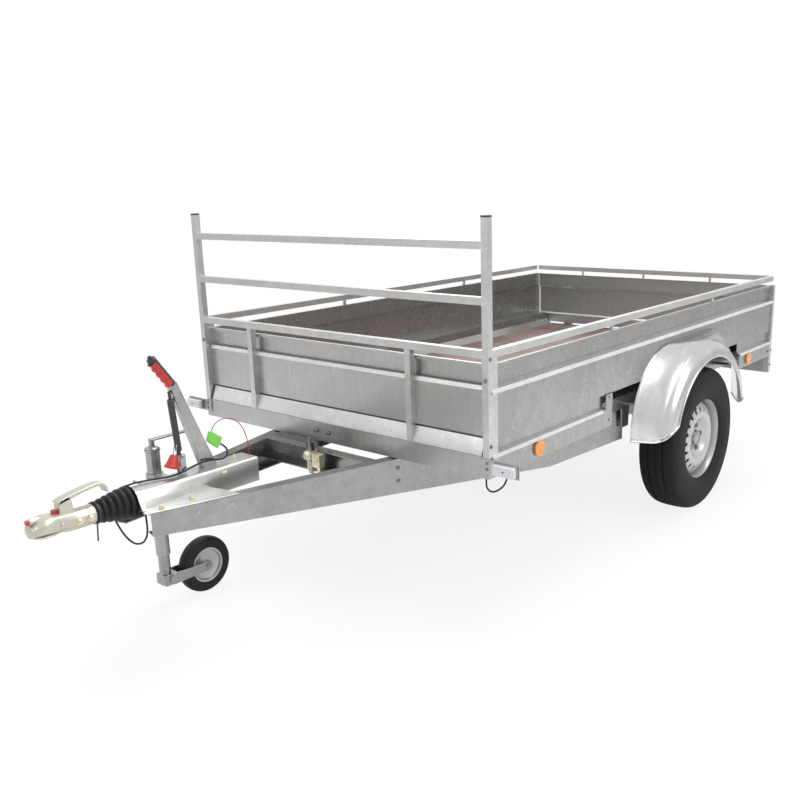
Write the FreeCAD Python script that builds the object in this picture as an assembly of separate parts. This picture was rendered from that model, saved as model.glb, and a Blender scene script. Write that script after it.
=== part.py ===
import FreeCAD, Part
import math
import os

# Galvanised single-axle box trailer with a tipping bed, in millimetres.
# Lengths are measured from the axle: +X runs to the coupling, +Y to the left, +Z up.
# Each piece moves by originShift when it is written, so that the part's own
# origin lies on the ground under the middle of its whole length.

os.makedirs("parts", exist_ok=True)

# Bed and frame
bedFront = 1512.0
bedLength = 2560.0
bedWidth = 1500.0
frameBottom = 531.0
frameTop = 604.0
floorTop = 600.0
floorThick = 12.0
floorHalf = 655.0
sillRise = 39.0
creaseHeight = 667.0
stepLow = 823.0
wallTop = 908.0
railTop = 957.0
sheet = 3.0
tube = 25.0
headTop = 1379.0
headBarHeights = (1102.0, 1276.0)
frontLedge = 35.0
archFront = 745.0
archRear = -600.0

# Axle and wheels
hubHeight = 325.5
tyreRadius = 325.5
tyreWidth = 184.0
wheelMid = 757.0
rimRadius = 192.5
rimWidth = 158.0
mudguardOuter = 862.0
mudguardRadius = 420.0

# Drawbar
drawbarFront = 2362.0
drawbarEndHalf = 106.0
drawbarTop = 527.0
drawbarDepthFront = 71.0
kinkX = 804.0
kinkBottom = 348.0
pivotX = 400.0
pivotHeight = 470.0
pivotHalf = 642.0
flangeWidth = 45.0
plateThick = 4.0

# Coupling and overrun device
couplingTip = 2700.0
socketRadius = 25.2
couplingHeight = 548.0
drawTubeRadius = 25.0
housingRear = 1885.0
housingTop = 592.0

# Jockey wheel
jockeyX = 2088.0
jockeyY = -290.0
jockeyWheelRadius = 107.0
jockeyTrail = 168.0
outerTubeRadius = 25.0
innerTubeRadius = 20.5

# Clearances
runningGap = 0.3
swingGap = 6.0

bedRear = bedFront - bedLength
half = bedWidth / 2
floorBottom = floorTop - floorThick
longeronWidth = 45.0
originShift = (couplingTip + bedRear - 8.0) / 2


def vec(x, y, z):
    return FreeCAD.Vector(x, y, z)


def slab(x0, x1, y0, y1, z0, z1):
    corner = vec(min(x0, x1), min(y0, y1), min(z0, z1))
    return Part.makeBox(abs(x1 - x0), abs(y1 - y0), abs(z1 - z0), corner)


def rod(start, end, radius):
    return Part.makeCylinder(radius, (end - start).Length, start, end - start)


def pipe(start, end, radius, bore):
    return rod(start, end, radius).cut(rod(start, end, bore))


def mirrored(shape):
    return shape.mirror(vec(0, 0, 0), vec(0, 1, 0))


def joined(shapes):
    body = shapes[0]
    for other in shapes[1:]:
        body = body.fuse(other)
    return body.removeSplitter()


def lifted(point, axis, at):
    # A point of a flat profile, placed on the plane where axis equals at.
    a, b = point
    if axis == "X":
        return vec(at, a, b)
    if axis == "Y":
        return vec(a, at, b)
    return vec(a, b, at)


def prism(points, axis, start, end):
    # A closed flat outline carried from start to end along one axis.
    corners = [lifted(p, axis, start) for p in points]
    face = Part.Face(Part.makePolygon(corners + corners[:1]))
    travel = lifted((0, 0), axis, end - start)
    return face.extrude(travel)


def offsetLine(points, distance):
    # The same open line, moved sideways to its left with mitred corners.
    normals = []
    for (a0, b0), (a1, b1) in zip(points, points[1:]):
        length = math.hypot(a1 - a0, b1 - b0)
        normals.append((-(b1 - b0) / length, (a1 - a0) / length))
    moved = []
    for i, (a, b) in enumerate(points):
        before = normals[max(i - 1, 0)]
        after = normals[min(i, len(normals) - 1)]
        across = (before[0] + after[0], before[1] + after[1])
        scale = distance * 2 / (across[0] ** 2 + across[1] ** 2)
        moved.append((a + across[0] * scale, b + across[1] * scale))
    return moved


def folded(points, thickness, axis, start, end):
    # Sheet metal folded along an open line and carried along one axis.
    outline = list(points) + offsetLine(points, thickness)[::-1]
    return prism(outline, axis, start, end)


def squareTube(p, q, size, wall=2.0):
    # A square tube between two points that lie along one axis, closed at its ends.
    run = q - p
    lows = [min(a, b) for a, b in zip(p, q)]
    highs = [max(a, b) for a, b in zip(p, q)]
    for i in range(3):
        if abs(run[i]) < 1e-6:
            lows[i] -= size / 2
            highs[i] += size / 2
    return slab(lows[0], highs[0], lows[1], highs[1], lows[2], highs[2])


def revolved(points, centre, axis):
    # Profile points are (distance from the axis, distance along the axis).
    along = vec(*axis)
    side = vec(1, 0, 0) if abs(axis[0]) < 0.5 else vec(0, 0, 1)
    corners = [centre + side * r + along * s for r, s in points]
    face = Part.Face(Part.makePolygon(corners + corners[:1]))
    return face.revolve(centre, along, 360)


def save(name, *shapes):
    body = Part.makeCompound(list(shapes)) if len(shapes) > 1 else shapes[0]
    body = body.copy()
    body.translate(vec(-originShift, 0, 0))
    body.exportStep("parts/" + name + ".step")


# Drawbar geometry: two C sections in a V, deepest at the kink under the bed
drawbarRun = drawbarFront - pivotX
drawbarSpread = pivotHalf - drawbarEndHalf
drawbarLength = math.hypot(drawbarRun, drawbarSpread)
drawbarAngle = math.degrees(math.atan2(drawbarSpread, drawbarRun))
pivotEyeRadius = 27.0
pinRadius = 10.0


def drawbarY(x):
    # Outer face of the left drawbar at a place along the trailer.
    return drawbarEndHalf + drawbarSpread * (drawbarFront - x) / drawbarRun


def drawbarBottom(x):
    frontBottom = drawbarTop - drawbarDepthFront
    if x > kinkX:
        return kinkBottom + (frontBottom - kinkBottom) * (x - kinkX) / (drawbarFront - kinkX)
    return kinkBottom + (kinkX - x) * 0.105


def alongDrawbar(x):
    return (drawbarFront - x) * drawbarLength / drawbarRun


def drawbarOutline(inset):
    return [
        (0, drawbarTop - inset),
        (drawbarLength, drawbarTop - inset),
        (drawbarLength, drawbarBottom(pivotX) + inset),
        (alongDrawbar(kinkX), kinkBottom + inset),
        (0, drawbarBottom(drawbarFront) + inset),
    ]


def makeDrawbar():
    # Built straight along +X at y = 0 and turned into the V afterwards.
    block = prism(drawbarOutline(0), "Y", 0, flangeWidth)
    hollow = prism(drawbarOutline(plateThick), "Y", plateThick, flangeWidth)
    section = block.cut(hollow)
    section = section.mirror(vec(0, 0, 0), vec(1, 0, 0))
    section = section.mirror(vec(0, 0, 0), vec(0, 1, 0))
    section.rotate(vec(0, 0, 0), vec(0, 0, 1), -drawbarAngle)
    section.translate(vec(drawbarFront, drawbarEndHalf, 0))
    relief = slab(pivotX - 80, pivotX + 2, 0, half, 300, 600)
    section = section.cut(relief)
    nose = slab(drawbarFront, drawbarFront + 60, 0, half, 300, 600)
    section = section.cut(nose)
    centre = vec(pivotX, 0, pivotHeight)
    eyeStart = centre + vec(0, pivotHalf - 52, 0)
    eyeEnd = centre + vec(0, pivotHalf - 2, 0)
    eye = rod(eyeStart, eyeEnd, pivotEyeRadius)
    bore = rod(eyeStart - vec(0, 5, 0), eyeEnd + vec(0, 10, 0), pinRadius + runningGap)
    return section.fuse(eye).cut(bore).removeSplitter()


def makeCrossMember():
    # Channel between the drawbars, just ahead of the bed.
    rear = 1556.0
    front = 1600.0
    top = drawbarTop
    bottom = 442.0
    inset = plateThick / math.cos(math.radians(drawbarAngle))
    points = [(front, bottom), (rear, bottom), (rear, top), (front, top)]
    reach = drawbarY(rear) + 20
    bar = folded(points, -plateThick, "Y", -reach, reach)
    trim = []
    for x in (rear - 40, front + 40):
        trim.append((x, drawbarY(x) - inset))
    trim += [(x, -y) for x, y in reversed(trim)]
    core = prism(trim, "Z", bottom - 5, top + 5)
    left = makeDrawbar()
    return bar.common(core).cut(left).cut(mirrored(left))


def makeHousing():
    # Folded cover over the overrun tube, bolted to the drawbars' top flanges.
    base = drawbarTop
    shoulder = 552.0
    outline = [
        (-78, base), (-78, base + 4), (-60, shoulder), (-44, housingTop - 8),
        (-34, housingTop), (34, housingTop), (44, housingTop - 8),
        (60, shoulder), (78, base + 4), (78, base),
    ]
    cover = prism(outline, "X", housingRear + 90, drawbarFront)
    rear = prism([(-52, 466), (-52, housingTop - 8), (-42, housingTop), (42, housingTop),
                  (52, housingTop - 8), (52, 466)], "X", housingRear, housingRear + 260)
    cover = cover.fuse(rear)
    cradle = slab(housingRear + 200, drawbarFront, -52, 52, 490, base)
    cover = cover.fuse(cradle)
    bore = rod(vec(housingRear + 150, 0, couplingHeight),
               vec(drawbarFront + 5, 0, couplingHeight), drawTubeRadius)
    cover = cover.cut(bore)
    for side in (1, -1):
        keep = []
        for x in (housingRear - 10, drawbarFront + 10):
            keep.append((x, side * (drawbarY(x) - flangeWidth)))
        keep += [(drawbarFront + 10, side * 200), (housingRear - 10, side * 200)]
        cover = cover.cut(prism(keep, "Z", 400, base))
    return cover.removeSplitter()


def makeDrawTube():
    start = vec(housingRear + 150, 0, couplingHeight)
    return rod(start, vec(2560, 0, couplingHeight), drawTubeRadius)


def makeBellows():
    # Rubber bellows that widens towards the housing.
    start = drawbarFront
    end = 2475.0
    folds = 5
    points = [(drawTubeRadius, 0), (54, 0)]
    step = (end - start) / folds
    for i in range(folds):
        crest = 52 - 12 * i / (folds - 1)
        points.append((crest, step * (i + 0.35)))
        points.append((crest, step * (i + 0.65)))
        points.append((crest - 9, step * (i + 1)))
    points.append((drawTubeRadius, end - start))
    return revolved(points, vec(start, 0, couplingHeight), (1, 0, 0))


def makeCouplingHead():
    # Pressed coupling: a sleeve on the draw tube that runs out into the ball socket.
    socketX = couplingTip - 42
    top = 583.0
    lip = 534.0
    plan = [(2478, 32), (2560, 34), (2610, 40), (2640, 43), (couplingTip - 20, 38),
            (couplingTip, 18)]
    outline = plan + [(x, -y) for x, y in reversed(plan)]
    side = [(2478, 520), (2478, 582), (2600, 584), (2650, top), (couplingTip, 570),
            (couplingTip, lip), (2620, lip), (2560, 522)]
    shell = prism(outline, "Z", 515, top).common(prism(side, "Y", -60, 60))
    shell = shell.cut(rod(vec(2470, 0, couplingHeight), vec(2560, 0, couplingHeight),
                          drawTubeRadius))
    socket = Part.makeSphere(socketRadius, vec(socketX, 0, lip + 16))
    mouth = rod(vec(socketX, 0, lip - 30), vec(socketX, 0, lip + 16), socketRadius)
    knob = rod(vec(couplingTip - 20, 0, 566), vec(couplingTip - 20, 0, 600), 9)
    return shell.fuse(knob).cut(socket).cut(mouth).removeSplitter()


def makeCouplingHandle():
    line = [(2595, 584), (2590, 600), (2545, 622), (2500, 640), (2470, 640), (2450, 622)]
    return folded(line, 12, "Y", -16, 16).cut(makeCouplingHead())


def makeBrakeLever():
    foot = (2070, housingTop)
    top = (2182, 895)
    width = 40.0
    line = [(foot[0] + width / 2, foot[1]), (top[0] + width / 2, top[1])]
    return folded(line, width, "Y", -34, -6)


def makeBrakeGrip():
    line = [(2182, 895), (2246, 985)]
    a = vec(line[0][0], -20, line[0][1])
    b = vec(line[1][0], -20, line[1][1])
    return rod(a, b, 14).cut(makeBrakeLever())


def makeBrakeStrut():
    lower = vec(2170, -20, housingTop)
    middle = vec(2170, -20, 645)
    upper = vec(2196, -20, 850)
    return joined([rod(lower, middle, 5), rod(middle, upper, 11)]).cut(makeBrakeLever())


def makeJockeyClamp():
    # Bracket on the outside of the right drawbar with a ring round the outer tube.
    low = 458.0
    high = 512.0
    ring = pipe(vec(jockeyX, jockeyY, low), vec(jockeyX, jockeyY, high),
                outerTubeRadius + 6, outerTubeRadius)
    face = -drawbarY(jockeyX)
    arm = slab(jockeyX - 14, jockeyX + 14, jockeyY + outerTubeRadius + 3, face - 4, low, high)
    plate = slab(jockeyX - 55, jockeyX + 55, -6, 0, low, high)
    plate.rotate(vec(jockeyX, 0, 0), vec(0, 0, 1), drawbarAngle)
    plate.translate(vec(0, face, 0))
    return joined([ring, arm, plate])


def makeJockeyOuterTube():
    bottom = vec(jockeyX, jockeyY, 205)
    top = vec(jockeyX, jockeyY, 600)
    return pipe(bottom, top, outerTubeRadius, innerTubeRadius + runningGap)


def makeJockeyCrank():
    spindle = rod(vec(jockeyX, jockeyY, 330), vec(jockeyX, jockeyY, 600), 8)
    cap = rod(vec(jockeyX, jockeyY, 600), vec(jockeyX, jockeyY, 605), outerTubeRadius)
    post = rod(vec(jockeyX, jockeyY, 605), vec(jockeyX, jockeyY, 636), 10)
    arm = slab(jockeyX - 165, jockeyX, jockeyY - 8, jockeyY + 8, 630, 636)
    knob = rod(vec(jockeyX - 155, jockeyY, 636), vec(jockeyX - 155, jockeyY, 700), 11)
    return joined([spindle, cap, post, arm, knob])


def makeJockeyNut():
    return pipe(vec(jockeyX, jockeyY, 430), vec(jockeyX, jockeyY, 460),
                14, 8 + runningGap)


def makeJockeyFork():
    # Inner tube with two arms that trail to the wheel's axle.
    bottom = vec(jockeyX, jockeyY, 92)
    top = vec(jockeyX, jockeyY, 470)
    inner = pipe(bottom, top, innerTubeRadius, 14 + runningGap)
    inner = inner.fuse(rod(bottom, bottom + vec(0, 0, 10), innerTubeRadius))
    axleX = jockeyX - jockeyTrail
    arms = []
    for side in (1, -1):
        y0 = jockeyY + side * 27
        y1 = jockeyY + side * 32
        arms.append(slab(axleX - 18, jockeyX - 6, y0, y1, 92, 128))
    bridge = slab(jockeyX - 20, jockeyX - 6, jockeyY - 32, jockeyY + 32, 92, 128)
    pin = rod(vec(axleX, jockeyY - 36, jockeyWheelRadius),
              vec(axleX, jockeyY + 36, jockeyWheelRadius), 8)
    return joined([inner, bridge] + arms + [pin])


def makeJockeyRim():
    axleX = jockeyX - jockeyTrail
    points = [(8 + runningGap, -24), (16, -24), (18, -10), (50, -10), (62, -24), (66, -24),
              (66, 24), (62, 24), (50, 10), (18, 10), (16, 24), (8 + runningGap, 24)]
    return revolved(points, vec(axleX, jockeyY, jockeyWheelRadius), (0, 1, 0))


def makeJockeyTyre():
    axleX = jockeyX - jockeyTrail
    r = jockeyWheelRadius
    points = [(66, -24), (72, -25), (r - 12, -25), (r - 3, -18), (r, -8), (r, 8),
              (r - 3, 18), (r - 12, 25), (72, 25), (66, 24)]
    return revolved(points, vec(axleX, jockeyY, jockeyWheelRadius), (0, 1, 0))


def makeTiltLatch():
    # Hook under the front of the bed, carried by the drawbars' cross member.
    plate = slab(1600, 1606, -30, 30, 446, drawbarTop + 30)
    bolt = rod(vec(1606, 0, 430), vec(1606, 0, 470), 8)
    spindle = rod(vec(1614, 0, 440), vec(1614, 0, 575), 8)
    return joined([plate, spindle, bolt.common(slab(1606, 1620, -20, 20, 400, 500))])


# The bed: side walls step out over the wheels at the crease
wallPlane = half - 6
upperPlane = half - 21
lowerPlane = half - 15


def sideWallLine():
    return [
        (upperPlane + 9, wallTop - 12), (upperPlane + 9, wallTop - sheet),
        (upperPlane, wallTop - sheet), (upperPlane, stepLow + 15), (wallPlane, stepLow),
        (wallPlane, creaseHeight - sheet),
        (floorHalf + sheet, creaseHeight - sheet), (floorHalf + sheet, floorBottom + sillRise),
        (floorHalf + sheet - sillRise, floorBottom),
    ]


def makeSideWall():
    line = sideWallLine()
    rear = bedRear + tube
    return folded(line, -sheet, "X", rear, bedFront - 2 * tube)


def sideBeamLine():
    return [
        (lowerPlane, creaseHeight - sheet), (lowerPlane, frameTop + 13), (half, frameTop),
        (half, frameBottom), (half - 45, frameBottom), (half - 45, frameBottom + 14),
    ]


def makeSideBeam():
    line = sideBeamLine()
    front = folded(line, -sheet, "X", archFront, bedFront - 2 * tube)
    rear = folded(line, -sheet, "X", bedRear + tube, archRear)
    flange = slab(archFront - 50, archFront, half - sheet, half, frameBottom, creaseHeight - sheet)
    return front, rear, flange


def makeFrontBeam():
    line = [(bedFront - 45, frameBottom + 14), (bedFront - 45, frameBottom),
            (bedFront, frameBottom), (bedFront, frameTop), (bedFront - 30, frameTop)]
    beam = folded(line, sheet, "Y", -half, half)
    ends = []
    for side in (1, -1):
        ends.append(slab(bedFront - 2 * tube, bedFront - sheet, side * (half - sheet),
                         side * half, frameBottom + sheet, frameTop - sheet))
    return joined([beam] + ends)


def makeRearBeam():
    line = [(bedRear + 45, frameBottom + 14), (bedRear + 45, frameBottom),
            (bedRear, frameBottom), (bedRear, frameTop - 4), (bedRear + tube, frameTop - 4)]
    beam = folded(line, -sheet, "Y", -half + 30, half - 30)
    left = makeSideBeam()[1]
    return beam.cut(left).cut(mirrored(left))


def makeFrontWall():
    back = bedFront - frontLedge
    proud = bedFront - tube
    line = [
        (back + 1, wallTop - 12), (back + 1, wallTop - sheet), (back - 8, wallTop - sheet),
        (back - 8, stepLow + 15), (proud, stepLow), (proud, creaseHeight), (back, creaseHeight),
        (back, frameTop),
    ]
    reach = half - tube
    return folded(line, -sheet, "Y", -reach, reach)


def makeLongerons():
    parts = []
    for side in (1, -1):
        y0 = side * (floorHalf - longeronWidth)
        y1 = side * floorHalf
        parts.append(slab(bedRear + 45, bedFront - 45, y0, y1, frameBottom, floorBottom))
    return parts


def makeBearers():
    parts = []
    inner = floorHalf - longeronWidth
    for x in (-780.0, -380.0, 0.0, 400.0, 760.0, 1160.0):
        parts.append(slab(x - 20, x + 20, -inner, inner, frameBottom, floorBottom))
    for x in (-780.0, 760.0, 1160.0):
        for side in (1, -1):
            parts.append(slab(x - 20, x + 20, side * floorHalf, side * (half - sheet),
                              frameBottom + 14, floorBottom))
    return parts


def makeFloor():
    reach = floorHalf + sheet - sillRise - sheet * math.sqrt(2) - runningGap
    return slab(bedRear + 60, bedFront - 46, -reach, reach, floorBottom, floorTop)


def makeCornerPosts():
    parts = []
    for side in (1, -1):
        parts.append(slab(bedFront - 2 * tube, bedFront - tube, side * (half - tube),
                          side * half, frameTop, railTop - tube))
    return parts


def makeRearPosts():
    parts = []
    for side in (1, -1):
        post = slab(bedRear, bedRear + tube, side * (half - 30), side * half, 440, wallTop)
        parts.append(post)
    return parts


def makeSideRails():
    parts = []
    y = half - tube / 2
    z = railTop - tube / 2
    rear = bedRear + 35
    for side in (1, -1):
        rail = squareTube(vec(rear, side * y, z), vec(bedFront - tube, side * y, z), tube)
        stubs = []
        for x in (680.0, -270.0):
            stubs.append(rod(vec(x, side * (upperPlane + 2), wallTop),
                             vec(x, side * (upperPlane + 2), railTop - tube), 8))
        parts.append(joined([rail] + stubs))
    return parts


def makeFrontRail():
    x = bedFront - tube / 2
    z = railTop - tube / 2
    reach = half - tube
    return squareTube(vec(x, -reach, z), vec(x, reach, z), tube)


def makeFrontStakes():
    parts = []
    x = bedFront - tube / 2
    for y in (405.0, -435.0):
        parts.append(squareTube(vec(x, y, frameTop), vec(x, y, railTop - tube), tube))
    return parts


def makeHeadboard():
    x = bedFront - tube / 2
    y = half - tube / 2
    pieces = []
    for side in (1, -1):
        pieces.append(squareTube(vec(x, side * y, frameTop), vec(x, side * y, headTop - 6), tube))
    for z in headBarHeights:
        pieces.append(squareTube(vec(x, -half + tube, z + tube / 2),
                                 vec(x, half - tube, z + tube / 2), tube))
    return joined(pieces)


def makeHeadboardCaps():
    parts = []
    x = bedFront - tube
    for side in (1, -1):
        parts.append(slab(x, bedFront, side * (half - tube), side * half, headTop - 6, headTop))
    return parts


def makeMudguard():
    # Rounded shell over the wheel, with a shoulder at its outer edge.
    outerEdge = mudguardOuter
    inner = floorHalf + 12
    r = mudguardRadius
    section = [
        (inner, r), (outerEdge - 34, r), (outerEdge - 10, r - 8), (outerEdge, r - 30),
        (outerEdge, r - 48), (outerEdge - 3, r - 48), (outerEdge - 3, r - 31),
        (outerEdge - 12, r - 11), (outerEdge - 35, r - 3), (inner, r - 3),
    ]
    corners = [vec(0, y, hubHeight + rr) for y, rr in section]
    face = Part.Face(Part.makePolygon(corners + corners[:1]))
    face.rotate(vec(0, 0, hubHeight), vec(0, 1, 0), -83)
    shell = face.revolve(vec(0, 0, hubHeight), vec(0, 1, 0), 166)
    underBed = slab(-r, r, 0, half + 4, creaseHeight - sheet - 4, wallTop)
    return shell.cut(underBed)


def makeMudguardBrackets():
    parts = []
    stayRadius = 8
    height = 560.0
    reach = math.sqrt((mudguardRadius - sheet - stayRadius) ** 2 - (height - hubHeight) ** 2)
    for side in (1, -1):
        for x in (reach, -reach):
            parts.append(rod(vec(x, side * floorHalf, height), vec(x, side * (half + 60), height),
                             stayRadius))
    return parts


def makeTyre():
    w = tyreWidth / 2
    r = tyreRadius
    points = [(rimRadius - 14, -w + 18), (rimRadius + 6, -w + 8), (r - 70, -w), (r - 30, -w + 6),
              (r - 8, -w + 20), (r, -w + 40), (r, w - 40), (r - 8, w - 20), (r - 30, w - 6),
              (r - 70, w), (rimRadius + 6, w - 8), (rimRadius - 14, w - 18)]
    return revolved(points, vec(0, wheelMid, hubHeight), (0, 1, 0)).cut(makeRim())


def makeRim():
    # Pressed steel wheel: well, dished disc and the hub with its drum behind.
    w = rimWidth / 2
    r = rimRadius
    barrel = [(r - 19, -w + 2), (r, -w + 2), (r, -w + 5), (r - 14, -w + 8), (r - 14, w - 8),
              (r, w - 5), (r, w - 2), (r - 19, w - 2)]
    disc = [(r - 19, 20), (r - 30, 44), (110, 52), (84, 40), (70, 20), (38, 20), (38, 16),
            (72, 16), (88, 36), (112, 48), (r - 34, 40), (r - 19, 14)]
    hub = [(20, -80), (110, -80), (110, -30), (60, -20), (38, 16), (38, 34), (20, 34)]
    centre = vec(0, wheelMid, hubHeight)
    shapes = [revolved(p, centre, (0, 1, 0)) for p in (barrel, disc, hub)]
    return joined(shapes)


def makeAxle():
    # Torsion axle: square tube with trailing arms and stub axles.
    axleX = 150.0
    z = 440.0
    inner = floorHalf - 40
    beam = slab(axleX - 35, axleX + 35, -inner, inner, z, z + 70)
    pieces = [beam]
    for side in (1, -1):
        lug = slab(axleX - 45, axleX + 45, side * (floorHalf - longeronWidth),
                   side * floorHalf, z + 70, frameBottom)
        pieces.append(lug)
    return joined(pieces)


def makeAxleArms():
    parts = []
    for side in (1, -1):
        shaft = rod(vec(150, side * (floorHalf - 40), 475), vec(150, side * (floorHalf - 6), 475), 30)
        outline = [(182, 500), (182, 450), (20, 296), (-30, 310), (-30, 350), (120, 500)]
        arm = prism(outline, "Y", side * (floorHalf - 30), side * (floorHalf - 6))
        stub = rod(vec(0, side * (floorHalf - 20), hubHeight),
                   vec(0, side * (wheelMid + 34), hubHeight), 20 - runningGap)
        parts.append(joined([shaft, arm, stub]))
    return parts


def makeHingeBrackets():
    parts = []
    for side in (1, -1):
        outer = [(pivotX - 32, frameBottom), (pivotX + 32, frameBottom),
                 (pivotX + 26, pivotHeight - 24), (pivotX - 26, pivotHeight - 24)]
        cheek = prism(outer, "Y", side * (pivotHalf + 4), side * (pivotHalf + 12))
        inner = prism(outer, "Y", side * (pivotHalf - 70), side * (pivotHalf - 60))
        pin = rod(vec(pivotX, side * (pivotHalf - 78), pivotHeight),
                  vec(pivotX, side * (pivotHalf + 12), pivotHeight), 10)
        parts.append(joined([cheek, inner, pin]))
    return parts


hingeX = bedRear - 8
hingeZ = frameTop
hingePlaces = (-520.0, 0.0, 520.0)


def makeTailgate():
    face = bedRear
    line = [
        (face + 34, wallTop), (face + 22, wallTop), (face + 22, stepLow + 15), (face + 8, stepLow),
        (face + 8, creaseHeight), (face + 16, creaseHeight - 8), (face + 16, frameTop + 6),
    ]
    reach = half - 30 - swingGap
    panel = folded(line, sheet, "Y", -reach, reach)
    knuckles = []
    for y in hingePlaces:
        strap = slab(hingeX, face + 16, y - 14.5, y + 14.5, hingeZ, hingeZ + 8)
        barrel = rod(vec(hingeX, y - 14.5, hingeZ), vec(hingeX, y + 14.5, hingeZ), 8)
        knuckles += [strap, barrel]
    bore = rod(vec(hingeX, -half, hingeZ), vec(hingeX, half, hingeZ), 5 + runningGap)
    return joined([panel] + knuckles).cut(bore)


def makeTailgateHinges():
    # Ears and pins on the rear beam, with the tailgate's barrels between them.
    parts = []
    for y in hingePlaces:
        pin = rod(vec(hingeX, y - 30, hingeZ), vec(hingeX, y + 30, hingeZ), 5)
        ears = []
        for side in (1, -1):
            ears.append(slab(hingeX - 8, bedRear, y + side * 15, y + side * 30,
                             hingeZ - 16, hingeZ + 6))
        parts.append(joined([pin] + ears))
    return parts


def makeTailgateRail():
    z = railTop - tube / 2
    x = bedRear + tube / 2 + 8
    reach = half - 36
    rail = squareTube(vec(x, -reach, z), vec(x, reach, z), tube)
    stubX = bedRear + 28
    stubs = [rod(vec(stubX, y, wallTop), vec(stubX, y, railTop - tube), 6) for y in (400, 0, -400)]
    return joined([rail] + stubs)


def makeRearLamps():
    parts = []
    for side in (1, -1):
        parts.append(slab(bedRear - 6, bedRear + 20, side * 480, side * 710, 445, 525))
    return parts


def makeLampCarriers():
    parts = []
    for side in (1, -1):
        plate = slab(bedRear + 20, bedRear + 23, side * 470, side * (half - 31), 440, frameBottom)
        parts.append(plate)
    return parts


def makeFrontLampBrackets():
    parts = []
    for side in (1, -1):
        block = slab(bedFront, bedFront + 4, side * (half - 32), side * 870, 552, 600)
        parts.append(block)
    return parts


def makeFrontLamps():
    parts = []
    for side in (1, -1):
        parts.append(slab(bedFront + 4, bedFront + 28, side * 770, side * 868, 555, 598))
    return parts


def makeReflectors():
    parts = []
    for side in (1, -1):
        for x in (1220.0, -716.0):
            parts.append(rod(vec(x, side * half, 569), vec(x, side * (half + 8), 569), 30))
    return parts


def main():
    left = makeDrawbar()
    save("drawbar_left", left)
    save("drawbar_right", mirrored(left))
    save("drawbar_cross_member", makeCrossMember())
    save("overrun_housing", makeHousing())
    save("draw_tube", makeDrawTube())
    save("bellows", makeBellows())
    save("coupling_head", makeCouplingHead())
    save("coupling_handle", makeCouplingHandle())
    save("brake_lever", makeBrakeLever())
    save("brake_grip", makeBrakeGrip())
    save("brake_strut", makeBrakeStrut())
    save("jockey_clamp", makeJockeyClamp())
    save("jockey_outer_tube", makeJockeyOuterTube())
    save("jockey_crank", makeJockeyCrank())
    save("tilt_latch", makeTiltLatch())
    save("jockey_nut", makeJockeyNut())
    save("jockey_fork", makeJockeyFork())
    save("jockey_rim", makeJockeyRim())
    save("jockey_tyre", makeJockeyTyre())
    wall = makeSideWall()
    save("wall_left", wall)
    save("wall_right", mirrored(wall))
    beams = makeSideBeam()
    leftBeam = joined(list(beams[0:1]) + [beams[2]])
    save("side_beam_left", leftBeam, beams[1])
    save("side_beam_right", mirrored(leftBeam), mirrored(beams[1]))
    save("front_beam", makeFrontBeam())
    save("rear_beam", makeRearBeam())
    save("wall_front", makeFrontWall())
    save("longerons", *makeLongerons())
    save("bearers", *makeBearers())
    save("floor_panel", makeFloor())
    save("front_posts", *makeCornerPosts())
    save("rear_posts", *makeRearPosts())
    save("side_rails", *makeSideRails())
    save("front_rail", makeFrontRail())
    save("front_stakes", *makeFrontStakes())
    save("headboard", makeHeadboard())
    save("headboard_caps", *makeHeadboardCaps())
    guard = makeMudguard()
    save("mudguard_left", guard)
    save("mudguard_right", mirrored(guard))
    save("mudguard_stays", *makeMudguardBrackets())
    tyre = makeTyre()
    save("tyre_left", tyre)
    save("tyre_right", mirrored(tyre))
    rim = makeRim()
    save("rim_left", rim)
    save("rim_right", mirrored(rim))
    save("axle_beam", makeAxle())
    save("axle_arms", *makeAxleArms())
    save("hinge_brackets", *makeHingeBrackets())
    save("tailgate_panel", makeTailgate())
    save("tailgate_rail", makeTailgateRail())
    save("tailgate_hinges", *makeTailgateHinges())
    save("rear_lamps", *makeRearLamps())
    save("lamp_carriers", *makeLampCarriers())
    save("front_lamp_brackets", *makeFrontLampBrackets())
    save("front_lamps", *makeFrontLamps())
    save("side_reflectors", *makeReflectors())


main()
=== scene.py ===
import math

import bmesh
import bpy
import numpy as np
from mathutils import Matrix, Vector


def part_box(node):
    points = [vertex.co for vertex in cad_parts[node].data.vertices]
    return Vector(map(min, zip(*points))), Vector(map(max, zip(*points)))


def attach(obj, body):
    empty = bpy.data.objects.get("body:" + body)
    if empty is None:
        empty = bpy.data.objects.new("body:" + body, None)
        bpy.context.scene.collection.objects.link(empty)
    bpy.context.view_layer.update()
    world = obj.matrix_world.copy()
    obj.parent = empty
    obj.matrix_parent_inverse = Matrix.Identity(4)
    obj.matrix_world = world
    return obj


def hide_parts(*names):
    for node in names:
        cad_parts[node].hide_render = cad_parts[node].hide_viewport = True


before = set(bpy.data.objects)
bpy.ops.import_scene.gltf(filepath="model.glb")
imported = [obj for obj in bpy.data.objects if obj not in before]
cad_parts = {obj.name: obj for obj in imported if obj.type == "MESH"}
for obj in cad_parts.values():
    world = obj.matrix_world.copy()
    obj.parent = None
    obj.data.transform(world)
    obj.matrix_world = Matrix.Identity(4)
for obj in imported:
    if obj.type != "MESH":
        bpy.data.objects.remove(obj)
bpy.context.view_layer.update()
print("frame loaded:", len(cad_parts), "nodes")

scene = bpy.context.scene
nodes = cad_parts

# The wheel axle's place along the frame, read from the wheel itself
wheelLow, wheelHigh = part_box("tyre_left")
axleX = (wheelLow[0] + wheelHigh[0]) / 2


def place(x, y, z):
    # A point measured from the axle, moved into the frame.
    return (x + axleX, y, z)


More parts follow.
